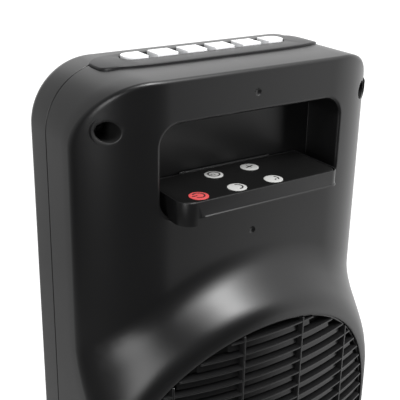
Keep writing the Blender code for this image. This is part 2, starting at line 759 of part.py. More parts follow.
def floor_openings(side):
    """Make the cutters in one shell's floor for the turntable's boss and screws."""
    boss = rod(TURNTABLE_BOSS_RADIUS + CLEARANCE, TOWER_LOW - OVERRUN, BOSS_HIGH + OVERRUN,
               steps=ROUND_STEPS)
    holes = [rod(SCREW_HOLE_RADIUS, TOWER_LOW - OVERRUN, FLOOR_HIGH + FLOOR_BOSS_HEIGHT - WALL,
                 centre=(across, side * TURNTABLE_SCREW_Y), steps=TINY_STEPS)
             for across in (-TURNTABLE_SCREW_X, TURNTABLE_SCREW_X)]
    return [boss] + holes


def floor_bosses(side):
    """Make the bosses that the turntable's screws bite, in one shell."""
    return [rod(CASE_POST_RADIUS, TOWER_LOW + WALL / 2, FLOOR_HIGH + FLOOR_BOSS_HEIGHT,
                centre=(across, side * TURNTABLE_SCREW_Y))
            for across in (-TURNTABLE_SCREW_X, TURNTABLE_SCREW_X)]


def build_base(held_by):
    """Build the base: plate, cover with its swivel post, feet and screws."""
    plate_radius = BASE_RADIUS - BASE_WALL - CLEARANCE
    boss_ring = BASE_RADIUS - BASE_SCREW_EDGE_MARGIN
    screw_spots = ring_spots(boss_ring, BASE_SCREW_COUNT, 60)
    plate = lathe([(0, PLATE_LOW), (plate_radius, PLATE_LOW), (plate_radius, PLATE_HIGH),
                   (0, PLATE_HIGH)], steps=2 * ROUND_STEPS)
    cut(plate, *[rod(SCREW_HOLE_RADIUS, PLATE_LOW - OVERRUN, PLATE_HIGH + OVERRUN, centre=place,
                     steps=TINY_STEPS) for place in screw_spots])
    finish(plate, "base_plate", DARK_STEEL, held_by)

    rise = BASE_HEIGHT - BASE_RIM_HEIGHT
    run = BASE_RADIUS - BASE_PLATEAU_RADIUS
    outer = [(BASE_PLATEAU_RADIUS + run * math.sin(turn),
              BASE_RIM_HEIGHT + rise * math.cos(turn)) for turn in quarter_turns()]
    inner = [(BASE_PLATEAU_RADIUS + (run - BASE_WALL) * math.sin(turn),
              BASE_RIM_HEIGHT + (rise - BASE_WALL) * math.cos(turn)) for turn in quarter_turns()]
    profile = [(0, POST_HIGH - POST_SCREW_DEPTH),
               (PIVOT_SHANK_RADIUS + CLEARANCE, POST_HIGH - POST_SCREW_DEPTH),
               (PIVOT_SHANK_RADIUS + CLEARANCE, POST_HIGH), (POST_RADIUS, POST_HIGH),
               (POST_RADIUS, BASE_HEIGHT)] + outer
    profile += [(BASE_RADIUS, PLATE_LOW), (BASE_RADIUS - BASE_WALL, PLATE_LOW)]
    profile += inner[::-1] + [(0, PLATEAU_UNDER)]
    cover = lathe(profile, steps=2 * ROUND_STEPS)
    bosses = [rod(BASE_BOSS_RADIUS, PLATE_HIGH + CLEARANCE, PLATEAU_UNDER + BASE_WALL / 2,
                  centre=place) for place in screw_spots]
    join(cover, *bosses)
    cutters = [rod(SCREW_HOLE_RADIUS, PLATE_LOW, PLATE_HIGH + CLEARANCE + SCREW_BITE,
                   centre=place, steps=TINY_STEPS) for place in screw_spots]
    cutters.append(rod(MOTOR_SHAFT_RADIUS + CLEARANCE, PLATEAU_UNDER - OVERRUN,
                       BASE_HEIGHT + OVERRUN, centre=(CRANK_OFFSET, 0.0)))
    cut(cover, *cutters)
    finish(cover, "base_cover", BLACK_PLASTIC, held_by)

    foot_reach = BASE_RADIUS - FOOT_EDGE_MARGIN
    foot = tube(foot_reach - FOOT_WIDTH, foot_reach, 0, FOOT_HEIGHT, steps=2 * ROUND_STEPS)
    finish(foot, "foot_ring", RUBBER, held_by)
    add_screws("Z", screw_spots, "base_screw", held_by, PLATE_LOW - CLEARANCE,
               (SCREW_HEAD_RADIUS, FOOT_HEIGHT - 2 * CLEARANCE), SCREW_RADIUS,
               BASE_PLATE_THICKNESS + SCREW_BITE, 1)


def quarter_turns():
    """Give the angles of a quarter turn."""
    return [math.pi / 2 * step / CORNER_STEPS for step in range(CORNER_STEPS + 1)]


def ring_spots(radius, count, start):
    """Give places evenly round a circle, from an angle in degrees."""
    turns = [math.radians(start) + 2 * math.pi * step / count for step in range(count)]
    return [(radius * math.cos(turn), radius * math.sin(turn)) for turn in turns]


def build_swivel(base, crank, tower):
    """Build the turntable with what holds it down, the motor that swings it and the crank."""
    inner = TURNTABLE_RADIUS - TURNTABLE_WALL
    under = TURNTABLE_HIGH - TURNTABLE_WALL
    bore = POST_RADIUS + CLEARANCE
    profile = [(bore, under - TURNTABLE_HUB_DROP), (TURNTABLE_HUB_RADIUS, under - TURNTABLE_HUB_DROP),
               (TURNTABLE_HUB_RADIUS, under), (inner, under), (inner, TURNTABLE_LOW),
               (TURNTABLE_RADIUS, TURNTABLE_LOW), (TURNTABLE_RADIUS, TURNTABLE_HIGH - TURNTABLE_EDGE),
               (TURNTABLE_RADIUS - TURNTABLE_EDGE, TURNTABLE_HIGH),
               (TURNTABLE_BOSS_RADIUS, TURNTABLE_HIGH), (TURNTABLE_BOSS_RADIUS, BOSS_HIGH),
               (bore, BOSS_HIGH)]
    table = lathe(profile, steps=2 * ROUND_STEPS, closed=True)
    slot_half = CRANK_PIN_RADIUS + SLOT_SIDE_PLAY
    slot_start = CRANK_OFFSET - CRANK_THROW - CRANK_PIN_RADIUS
    slot_end = CRANK_OFFSET + CRANK_THROW + CRANK_PIN_RADIUS + SLOT_END_PLAY
    slot = box((max(slot_start, TURNTABLE_HUB_RADIUS + CLEARANCE), -slot_half, under - OVERRUN),
               (slot_end - OVERRUN, slot_half, TURNTABLE_HIGH - TURNTABLE_WALL / 3))
    screw_spots = [(across, depth) for across in (-TURNTABLE_SCREW_X, TURNTABLE_SCREW_X)
                   for depth in (-TURNTABLE_SCREW_Y, TURNTABLE_SCREW_Y)]
    holes = [rod(SCREW_HOLE_RADIUS, under - OVERRUN, TURNTABLE_HIGH + OVERRUN, centre=place,
                 steps=TINY_STEPS) for place in screw_spots]
    cut(table, slot, *holes)
    finish(table, "turntable", BLACK_PLASTIC, tower)

    add_screws("Z", screw_spots, "turntable_screw", tower, under - CLEARANCE,
               (SCREW_HEAD_RADIUS, SCREW_HEAD_HEIGHT), SCREW_RADIUS,
               TURNTABLE_WALL + FLOOR_BOSS_HEIGHT, 1)

    washer = tube(bore, WASHER_RADIUS, WASHER_LOW, WASHER_HIGH)
    finish(washer, "pivot_washer", STEEL, base)
    pivot = screw("Z", (0.0, 0.0), POST_HIGH + CLEARANCE, PIVOT_HEAD_RADIUS, PIVOT_HEAD_HEIGHT,
                  PIVOT_SHANK_RADIUS, POST_SCREW_DEPTH - OVERRUN, -1)
    finish(pivot, "pivot_screw", STEEL, base)

    centre = (CRANK_OFFSET, 0.0)
    crank_low = BASE_HEIGHT + CRANK_LIFT
    crank_high = crank_low + CRANK_THICKNESS
    motor = rod(SWING_MOTOR_RADIUS, PLATE_HIGH + CLEARANCE, PLATEAU_UNDER - CLEARANCE,
                centre=centre, steps=ROUND_STEPS)
    ear_reach = SWING_MOTOR_RADIUS + SWING_MOTOR_EAR
    ears = box((CRANK_OFFSET - SWING_MOTOR_EAR, -ear_reach, PLATE_HIGH + CLEARANCE),
               (CRANK_OFFSET + SWING_MOTOR_EAR, ear_reach,
                PLATE_HIGH + CLEARANCE + SWING_MOTOR_EAR_THICKNESS))
    shaft = rod(MOTOR_SHAFT_RADIUS, PLATEAU_UNDER - 2 * CLEARANCE, crank_high, centre=centre)
    join(motor, ears)
    join(motor, shaft)
    finish(motor, "swing_motor", STEEL, base)

    disc = tube(MOTOR_SHAFT_RADIUS + CLEARANCE, CRANK_THROW + CRANK_EDGE, crank_low, crank_high,
                centre=centre)
    pin = rod(CRANK_PIN_RADIUS, crank_low + CLEARANCE, crank_low + CRANK_PIN_HEIGHT,
              centre=(CRANK_OFFSET + CRANK_THROW, 0.0))
    join(disc, pin)
    finish(disc, "swing_crank", INNER_PLASTIC, crank)


def build_front_shell(held_by):
    """Build the front shell, with its lip, posts and openings."""
    start = SEAM_Y - CLEARANCE / 2
    turns = quarter_turns()
    edge_y = FRONT_Y + FRONT_EDGE_RADIUS
    inner_edge = FRONT_EDGE_RADIUS - WALL
    outer = [tower_section(0, start)]
    outer += [tower_section(FRONT_EDGE_RADIUS * (1 - math.cos(turn)),
                            edge_y - FRONT_EDGE_RADIUS * math.sin(turn)) for turn in turns]
    inner = [tower_section(WALL, start + OVERRUN)]
    inner += [tower_section(FRONT_EDGE_RADIUS - inner_edge * math.cos(turn),
                            edge_y - inner_edge * math.sin(turn)) for turn in turns]
    shell = loft(outer)
    cut(shell, loft(inner))

    root = FRONT_Y + WALL / 2
    posts = [rod(CASE_POST_RADIUS, root, CASE_POST_END, "Y", place)
             for place in case_screw_spots()]
    board_x = DISPLAY_WIDTH / 2 + DISPLAY_BOARD_MARGIN - DISPLAY_POST_RADIUS
    posts += [stake("Y", (side * board_x, DISPLAY_Z), root, display_board_y() - CLEARANCE, 1,
                    BOARD_THICKNESS, DISPLAY_POST_RADIUS) for side in (1, -1)]
    posts += floor_bosses(-1)
    join(shell, *posts)

    lip_sections = [(WALL - LIP_THICKNESS / 2, start - LIP_ROOT),
                    (WALL - LIP_THICKNESS / 2, start - LIP_ROOT / 2),
                    (WALL + CLEARANCE, start - LIP_ROOT / 2), (WALL + CLEARANCE, start + LIP_REACH),
                    (WALL + LIP_THICKNESS, start + LIP_REACH), (WALL + LIP_THICKNESS, start - LIP_ROOT)]
    lip = loft([tower_section(inset, along) for inset, along in lip_sections], closed=True)
    panel_gap = prism(panel_outline(PANEL_FLANGE_WIDTH + CLEARANCE), "Z",
                      PANEL_LOW - 2 * OVERRUN, TOWER_HIGH + OVERRUN)
    boss_gap = rod(TURNTABLE_BOSS_RADIUS + OVERRUN, TOWER_LOW - OVERRUN, BOSS_HIGH + OVERRUN,
                   steps=ROUND_STEPS)
    screw_gaps = [box((min(side * CASE_SCREW_X - side * 2 * COUNTERBORE_RADIUS, side * HALF_WIDTH),
                       start, level - 2 * COUNTERBORE_RADIUS),
                      (max(side * CASE_SCREW_X - side * 2 * COUNTERBORE_RADIUS, side * HALF_WIDTH),
                       start + LIP_REACH + OVERRUN, level + 2 * COUNTERBORE_RADIUS))
                  for side, level in corner_spots(1, *CASE_SCREW_LEVELS[::-1])]
    cut(lip, panel_gap, boss_gap, *screw_gaps)
    join(shell, lip)

    grille = prism(front_grille_outline(CLEARANCE), "Y", FRONT_Y - OVERRUN, FRONT_INNER_Y + OVERRUN)
    window = prism(display_outline(CLEARANCE), "Y", FRONT_Y - OVERRUN, FRONT_INNER_Y + OVERRUN)
    screw_holes = [rod(SCREW_HOLE_RADIUS, CASE_POST_END - SCREW_BITE, CASE_POST_END + OVERRUN,
                       "Y", place, TINY_STEPS) for place in case_screw_spots()]
    cut(shell, grille, window, panel_opening(), *screw_holes, *floor_openings(-1),
        solver="MANIFOLD")
    finish(shell, "front_shell", BLACK_PLASTIC, held_by)


def build_rear_shell(held_by):
    """Build the rear shell: face with round shoulders, drum, pocket, posts and openings."""
    start = SEAM_Y + CLEARANCE / 2
    shell = rear_block(0, start)
    keep = copy_of(shell)
    cut(shell, rear_block(WALL, start - OVERRUN))
    trim = box((-HALF_WIDTH - OVERRUN, start - 3 * OVERRUN, TOWER_LOW - OVERRUN),
               (HALF_WIDTH + OVERRUN, start, TOWER_HIGH + OVERRUN))
    cut(shell, trim)

    walls = [prism(pocket_outline(POCKET_WALL), "Y", POCKET_BACK - POCKET_WALL, DRUM_Y)]
    walls += [rod(COUNTERBORE_RADIUS + COUNTERBORE_WALL, COUNTERBORE_Y - COUNTERBORE_FLOOR, DRUM_Y,
                  "Y", place) for place in case_screw_spots()]
    walls += [rod(SHROUD_REAR_POST_RADIUS, SHROUD_Y + CLEARANCE, DRUM_Y, "Y", place)
              for place in shroud_screw_spots()]
    walls += [stake("Y", place, DRUM_Y, MAIN_BOARD_Y, -1, BOARD_THICKNESS, MAIN_BOARD_POST_RADIUS)
              for place in board_spots()]
    walls += floor_bosses(1)
    features = group(walls)
    combine(features, [keep], "INTERSECT")
    join(shell, features)

    cutters = [prism(pocket_outline(0), "Y", POCKET_BACK, DRUM_Y)]
    cutters += [stepped_hole("Y", place, [(SCREW_HOLE_RADIUS, COUNTERBORE_Y - 2 * OVERRUN,
                                           COUNTERBORE_Y),
                                          (COUNTERBORE_RADIUS, COUNTERBORE_Y, DRUM_Y)])
                for place in case_screw_spots()]
    cutters += [rod(SCREW_HOLE_RADIUS, SHROUD_Y - OVERRUN, SHROUD_Y + SCREW_BITE, "Y", place,
                    TINY_STEPS) for place in shroud_screw_spots()]
    cutters.append(rod(HOLE_RADIUS, SHROUD_Y + SHROUD_RING_DEPTH, DRUM_Y + OVERRUN, "Y",
                       (0.0, DRUM_Z), DRUM_STEPS))
    cutters.append(rod(GLAND_RADIUS + CLEARANCE, REAR_Y - WALL - OVERRUN, REAR_Y + OVERRUN, "Y",
                       gland_place(), SMALL_STEPS))
    cutters += [rod(DIMPLE_RADIUS, REAR_Y - DIMPLE_DEPTH, REAR_Y + OVERRUN, "Y", (0.0, level),
                    TINY_STEPS) for level in (POCKET_HIGH + DIMPLE_GAP,
                                              POCKET_LOW - DIMPLE_LOWER_GAP)]
    cut(shell, panel_opening(), *cutters, *floor_openings(1), solver="MANIFOLD")
    finish(shell, "rear_shell", BLACK_PLASTIC, held_by)


def pocket_outline(extra):
    """Give the pocket's outline seen from the rear, swelled by a wall."""
    return rounded_rectangle((-POCKET_WIDTH / 2 - extra, POCKET_LOW - extra),
                             (POCKET_WIDTH / 2 + extra, POCKET_HIGH + extra),
                             POCKET_CORNER_RADIUS + extra, POCKET_CORNER_RADIUS + extra)


def front_grille_outline(extra):
    """Give the outline of the opening in the front, swelled by an amount."""
    half = FRONT_GRILLE_WIDTH / 2 + extra
    radius = max(FRONT_GRILLE_CORNER_RADIUS + extra, CLEARANCE)
    return rounded_rectangle((-half, GRILLE_BOTTOM - extra), (half, GRILLE_TOP + extra),
                             radius, radius, TINY_STEPS // 2)


def display_outline(extra):
    """Give the outline of the display's opening, swelled by an amount."""
    half_x = DISPLAY_WIDTH / 2 + extra
    half_z = DISPLAY_HEIGHT / 2 + extra
    radius = DISPLAY_CORNER_RADIUS + extra
    return rounded_rectangle((-half_x, DISPLAY_Z - half_z), (half_x, DISPLAY_Z + half_z),
                             radius, radius, TINY_STEPS // 2)


def display_board_y():
    """Give the depth of the display board's front face."""
    return window_flange_back() + CLEARANCE + DISPLAY_BLOCK_DEPTH


def window_flange_back():
    """Give the depth of the back of the display window's flange."""
    return FRONT_INNER_Y + CLEARANCE + DISPLAY_FLANGE_THICKNESS


def gland_place():
    """Give the place of the cord gland on the rear face."""
    return (GLAND_OFFSET, FLOOR_HIGH + GLAND_LIFT)


def build_gland(held_by):
    """Build the bushing that a mains cord leaves through."""
    flange_low = REAR_Y + CLEARANCE
    flange_high = flange_low + GLAND_FLANGE_THICKNESS
    profile = [(GLAND_BORE_RADIUS, REAR_Y - WALL - OVERRUN), (GLAND_RADIUS, REAR_Y - WALL - OVERRUN),
               (GLAND_RADIUS, flange_low), (GLAND_FLANGE_RADIUS, flange_low),
               (GLAND_FLANGE_RADIUS, flange_high), (GLAND_RADIUS, flange_high + GLAND_PROUD),
               (GLAND_BORE_RADIUS, flange_high + GLAND_PROUD)]
    gland = lathe(profile, "Y", gland_place(), SMALL_STEPS, closed=True)
    finish(gland, "cord_gland", RUBBER, held_by)


def build_rear_grille(held_by):
    """Build the rear grille: a ring, level slats round in plan, and thin upright bars."""
    outer = HOLE_RADIUS - CLEARANCE
    inner = outer - GRILLE_RING_WIDTH
    flange = HOLE_RADIUS + GRILLE_FLANGE_WIDTH
    flange_low = GRILLE_FLANGE_DROP + GRILLE_FLANGE_THICKNESS
    sections = [(outer, GRILLE_RECESS), (outer, GRILLE_FLANGE_DROP), (flange, GRILLE_FLANGE_DROP),
                (flange, flange_low), (outer, flange_low), (inner, GRILLE_DEPTH),
                (inner, GRILLE_RECESS)]
    ring = loft([ring_section(radius, drop) for radius, drop in sections], closed=True)
    slat_limit = inner + GRILLE_RING_WIDTH / 2
    count = int(inner / SLAT_PITCH)
    slats = []
    for index in range(-count, count + 1):
        level = index * SLAT_PITCH
        highest = abs(level) + SLAT_THICKNESS + SLAT_RISE
        if highest < inner:
            slats.append(slat(level, math.sqrt(slat_limit ** 2 - highest ** 2)))
    bars = []
    for offset in (-1.5, -0.5, 0.5, 1.5):
        across = offset * BAR_SPACING
        half = math.sqrt(slat_limit ** 2 - (abs(across) + BAR_WIDTH) ** 2)
        face = drum_face_y(across) - BAR_RECESS
        bars.append(box((across - BAR_WIDTH / 2, face - BAR_DEPTH, DRUM_Z - half),
                        (across + BAR_WIDTH / 2, face, DRUM_Z + half)))
    join(ring, *slats)
    join(ring, *bars)
    finish(ring, "rear_grille", BLACK_PLASTIC, held_by)


def ring_section(radius, drop):
    """Give a ring of points at a depth below the drum's face."""
    points = []
    for step in range(DRUM_STEPS):
        turn = 2 * math.pi * step / DRUM_STEPS
        across = radius * math.cos(turn)
        points.append(spot("Y", across, DRUM_Z + radius * math.sin(turn),
                           drum_face_y(across) - drop))
    return points


def slat(level, half):
    """Make one slat, whose outer edge is lower than its inner edge."""
    sections = []
    for step in range(SLAT_STEPS + 1):
        across = half * (2 * step / SLAT_STEPS - 1)
        face = drum_face_y(across) - GRILLE_RECESS
        back = face - (GRILLE_DEPTH - BAR_DEPTH / 2)
        low = DRUM_Z + level - SLAT_THICKNESS / 2
        sections.append([Vector((across, face, low)), Vector((across, face, low + SLAT_THICKNESS)),
                         Vector((across, back, low + SLAT_THICKNESS + SLAT_RISE)),
                         Vector((across, back, low + SLAT_RISE))])
    return loft(sections)


def build_front_grille(held_by):
    """Build the front grille: a frame with a flange behind the shell, louvres and bars."""
    flange_front = FRONT_INNER_Y + CLEARANCE
    flange_back = flange_front + FRONT_GRILLE_FLANGE_THICKNESS
    back = FRONT_Y + FRONT_GRILLE_DEPTH
    sections = [(0, FRONT_Y), (0, flange_front), (FRONT_GRILLE_FLANGE, flange_front),
                (FRONT_GRILLE_FLANGE, flange_back), (-FRONT_GRILLE_FRAME, back),
                (-FRONT_GRILLE_FRAME, FRONT_Y)]
    frame = loft([[spot("Y", across, up, along) for across, up in front_grille_outline(extra)]
                  for extra, along in sections], closed=True)
    half = FRONT_GRILLE_WIDTH / 2 - FRONT_GRILLE_FRAME / 2
    lowest = GRILLE_BOTTOM + FRONT_GRILLE_FRAME + LOUVRE_DROP
    highest = GRILLE_TOP - FRONT_GRILLE_FRAME - LOUVRE_DROP
    count = int((highest - lowest) / LOUVRE_PITCH)
    first = (lowest + highest - count * LOUVRE_PITCH) / 2
    louvres = []
    for index in range(count + 1):
        level = first + index * LOUVRE_PITCH
        outline = [(FRONT_Y + CLEARANCE, level - LOUVRE_THICKNESS),
                   (FRONT_Y + LOUVRE_DEPTH, level - LOUVRE_THICKNESS + LOUVRE_DROP),
                   (FRONT_Y + LOUVRE_DEPTH, level + LOUVRE_DROP), (FRONT_Y + CLEARANCE, level)]
        louvres.append(prism(outline, "X", -half, half))
    bars = [box((across - FRONT_BAR_WIDTH / 2, FRONT_Y + 2 * CLEARANCE,
                 GRILLE_BOTTOM + FRONT_GRILLE_FRAME / 2),
                (across + FRONT_BAR_WIDTH / 2, FRONT_Y + LOUVRE_DEPTH - CLEARANCE,
                 GRILLE_TOP - FRONT_GRILLE_FRAME / 2))
            for across in (-FRONT_BAR_SPACING / 2, FRONT_BAR_SPACING / 2)]
    join(frame, *louvres)
    join(frame, *bars)
    finish(frame, "front_grille", BLACK_PLASTIC, held_by)


def build_display(held_by):
    """Build the display: its smoked window and the board behind it."""
    flange_front = FRONT_INNER_Y + CLEARANCE
    sections = [(0, FRONT_Y + CLEARANCE), (0, flange_front), (DISPLAY_WINDOW_FLANGE, flange_front),
                (DISPLAY_WINDOW_FLANGE, window_flange_back())]
    window = loft([[spot("Y", across, up, along) for across, up in display_outline(extra)]
                   for extra, along in sections])
    finish(window, "display_window", SMOKED, held_by)

    board_y = display_board_y()
    half_x = DISPLAY_WIDTH / 2 + DISPLAY_BOARD_MARGIN
    half_z = DISPLAY_HEIGHT / 2
    board = box((-half_x, board_y, DISPLAY_Z - half_z),
                (half_x, board_y + BOARD_THICKNESS, DISPLAY_Z + half_z))
    block_x = DISPLAY_WIDTH / 2 - DISPLAY_BLOCK_MARGIN
    block_z = DISPLAY_HEIGHT / 2 - DISPLAY_BLOCK_MARGIN
    block = box((-block_x, board_y - DISPLAY_BLOCK_DEPTH, DISPLAY_Z - block_z),
                (block_x, board_y + BOARD_THICKNESS / 2, DISPLAY_Z + block_z))
    join(board, block)
    board_x = half_x - DISPLAY_POST_RADIUS
    cut(board, *[rod(STAKE_HOLE_RADIUS, board_y - OVERRUN, board_y + BOARD_THICKNESS + OVERRUN, "Y",
                     (side * board_x, DISPLAY_Z), TINY_STEPS) for side in (1, -1)])
    finish(board, "display_board", GREEN_BOARD, held_by)


def build_tray(held_by):
    """Build the tray that the remote lies in, with a rim, a corner rib and a foot."""
    half = TRAY_LENGTH / 2
    outer = tray_outline(0)
    inner = tray_outline(TRAY_WALL)
    tray = prism(outer, "Z", TRAY_LOW, TRAY_HIGH)
    cut(tray, prism(inner, "Z", TRAY_FLOOR_HIGH, TRAY_HIGH + OVERRUN))
    rib_x = TRAY_X + half - TRAY_RIB_WIDTH
    rib_radius = TRAY_FRONT_RADIUS - CLEARANCE
    rib = prism([(rib_x, TRAY_BACK), (TRAY_X + half - CLEARANCE, TRAY_BACK)]
                + arc((TRAY_X + half - CLEARANCE - rib_radius, TRAY_FRONT - CLEARANCE - rib_radius),
                      rib_radius, 0, 180, CORNER_STEPS),
                "Z", POCKET_LOW + CLEARANCE, TRAY_LOW + TRAY_FLOOR / 2)
    pocket = prism(pocket_outline(-CLEARANCE), "Y", TRAY_BACK - OVERRUN, TRAY_FRONT + OVERRUN)
    combine(rib, [pocket], "INTERSECT")
    foot_x = TRAY_X - half + TRAY_FOOT_SETBACK
    foot = box((foot_x, TRAY_BACK + CLEARANCE, POCKET_LOW + CLEARANCE),
               (foot_x + TRAY_FOOT_WIDTH, REAR_Y - TRAY_FOOT_SETBACK, TRAY_LOW + TRAY_FLOOR / 2))
    join(tray, rib)
    join(tray, foot)
    finish(tray, "remote_tray", BLACK_PLASTIC, held_by)


def tray_outline(inset):
    """Give the tray's outline in plan, drawn in by a wall."""
    half = TRAY_LENGTH / 2 - inset
    back = max(TRAY_BACK_RADIUS - inset, CLEARANCE)
    return rounded_rectangle((TRAY_X - half, TRAY_BACK + inset), (TRAY_X + half, TRAY_FRONT - inset),
                             back, TRAY_FRONT_RADIUS - inset)


def remote_outline(inset):
    """Give the remote's outline in plan, drawn in by an inset."""
    half_x = REMOTE_LENGTH / 2 - inset
    half_y = REMOTE_WIDTH / 2 - inset
    radius = max(REMOTE_CORNER_RADIUS - inset, CLEARANCE)
    back = max(TRAY_BACK_RADIUS - inset, CLEARANCE)
    return rounded_rectangle((TRAY_X - half_x, REMOTE_Y - half_y),
                             (TRAY_X + half_x, REMOTE_Y + half_y), back, radius)


def build_remote(held_by, buttons, cover_held_by):
    """Build the remote: case, face, board, cell, cell cover and five buttons."""
    cell_spot = (CELL_X, REMOTE_Y)
    bottom = prism(remote_outline(0), "Z", REMOTE_LOW, REMOTE_BOTTOM_CASE_HIGH)
    cut(bottom, prism(remote_outline(REMOTE_WALL), "Z", REMOTE_FLOOR_HIGH,
                      REMOTE_BOTTOM_CASE_HIGH + OVERRUN))
    cut(bottom, rod(CELL_COVER_RADIUS + CLEARANCE, REMOTE_LOW - OVERRUN,
                    REMOTE_FLOOR_HIGH + OVERRUN, centre=cell_spot, steps=ROUND_STEPS))
    finish(bottom, "remote_bottom_case", INNER_PLASTIC, held_by)

    hole = REMOTE_BUTTON_RADIUS + CLEARANCE
    top = prism(remote_outline(0), "Z", REMOTE_SPLIT, REMOTE_TOP_CASE_HIGH)
    cut(top, *[rod(hole, REMOTE_SPLIT - OVERRUN, REMOTE_HIGH, centre=place, steps=BUTTON_STEPS)
               for place in BUTTON_SPOTS])
    finish(top, "remote_top_case", INNER_PLASTIC, held_by)
    face = prism(remote_outline(0), "Z", REMOTE_HIGH - REMOTE_FACE_THICKNESS, REMOTE_HIGH)
    cut(face, *[rod(hole, REMOTE_SPLIT, REMOTE_HIGH + OVERRUN, centre=place, steps=BUTTON_STEPS)
                for place in BUTTON_SPOTS])
    finish(face, "remote_face", GLOSS_BLACK, held_by)

    half_y = REMOTE_WIDTH / 2 - REMOTE_WALL - CLEARANCE
    corner = TRAY_BACK_RADIUS
    board_low = (CELL_X + CELL_COVER_RADIUS + 2 * CLEARANCE, REMOTE_Y - half_y)
    board_high = (TRAY_X + REMOTE_LENGTH / 2 - REMOTE_WALL - CLEARANCE, REMOTE_Y + half_y)
    outline = rounded_rectangle(board_low, board_high, corner, REMOTE_CORNER_RADIUS, 2)
    board = prism(outline, "Z", REMOTE_BOARD_LOW, REMOTE_BOARD_HIGH)
    finish(board, "remote_board", GREEN_BOARD, held_by)
    cell_low = REMOTE_FLOOR_HIGH + CLEARANCE
    cell = rod(CELL_RADIUS, cell_low, cell_low + CELL_THICKNESS, centre=cell_spot,
               steps=ROUND_STEPS)
    finish(cell, "coin_cell", STEEL, held_by)

    cover = rod(CELL_COVER_RADIUS, REMOTE_LOW, REMOTE_FLOOR_HIGH, centre=cell_spot,
                steps=ROUND_STEPS)
    slot = box((CELL_X - CELL_COVER_SLOT_LENGTH / 2, REMOTE_Y - CELL_COVER_SLOT_WIDTH / 2,
                REMOTE_LOW - OVERRUN),
               (CELL_X + CELL_COVER_SLOT_LENGTH / 2, REMOTE_Y + CELL_COVER_SLOT_WIDTH / 2,
                REMOTE_LOW + CELL_COVER_SLOT_DEPTH))
    cut(cover, slot)
    finish(cover, "cell_cover", INNER_PLASTIC, cover_held_by)

    button_low = REMOTE_BOARD_HIGH + REMOTE_BUTTON_TRAVEL + CLEARANCE
    edge = REMOTE_BUTTON_PROUD / 2
    shoulder = REMOTE_SPLIT + REMOTE_BUTTON_TRAVEL
    stem = REMOTE_BUTTON_RADIUS - REMOTE_BUTTON_STEP
    profile = [(0, button_low), (stem, button_low), (stem, shoulder),
               (REMOTE_BUTTON_RADIUS, shoulder), (REMOTE_BUTTON_RADIUS, REMOTE_BUTTON_HIGH - edge),
               (REMOTE_BUTTON_RADIUS - edge, REMOTE_BUTTON_HIGH), (0, REMOTE_BUTTON_HIGH)]
    for index, place in enumerate(BUTTON_SPOTS):
        button = lathe(profile, centre=place, steps=BUTTON_STEPS)
        look = RED_PLASTIC if index == 0 else SILVER_PLASTIC
        finish(button, f"remote_button_{index + 1}", look, buttons[index])


def key_outline(index, inset):
    """Give a key's outline in plan. The two end keys have a round outer end."""
    centre = key_x(index)
    half_x = KEY_LENGTH / 2 - inset
    half_y = KEY_WIDTH / 2 - inset
    outline = [(centre - half_x, KEY_Y - half_y), (centre + half_x, KEY_Y - half_y),
               (centre + half_x, KEY_Y + half_y), (centre - half_x, KEY_Y + half_y)]
    if index == 0:
        middle = (centre + KEY_LENGTH / 2 - KEY_WIDTH / 2, KEY_Y)
        return [outline[0]] + arc(middle, half_y, -90, 180, CORNER_STEPS) + [outline[3]]
    if index == KEY_COUNT - 1:
        middle = (centre - KEY_LENGTH / 2 + KEY_WIDTH / 2, KEY_Y)
        return outline[1:3] + arc(middle, half_y, 90, 180, CORNER_STEPS)
    return outline


def key_x(index):
    """Give the place of a key along the strip, the first at +X."""
    return ((KEY_COUNT - 1) / 2 - index) * KEY_PITCH


def key_strip_outline(extra):
    """Give the outline of the slot that all keys stand in."""
    half_x = (KEY_COUNT - 1) / 2 * KEY_PITCH + KEY_LENGTH / 2 + extra
    half_y = KEY_WIDTH / 2 + extra
    return rounded_rectangle((-half_x, KEY_Y - half_y), (half_x, KEY_Y + half_y), half_y, half_y)


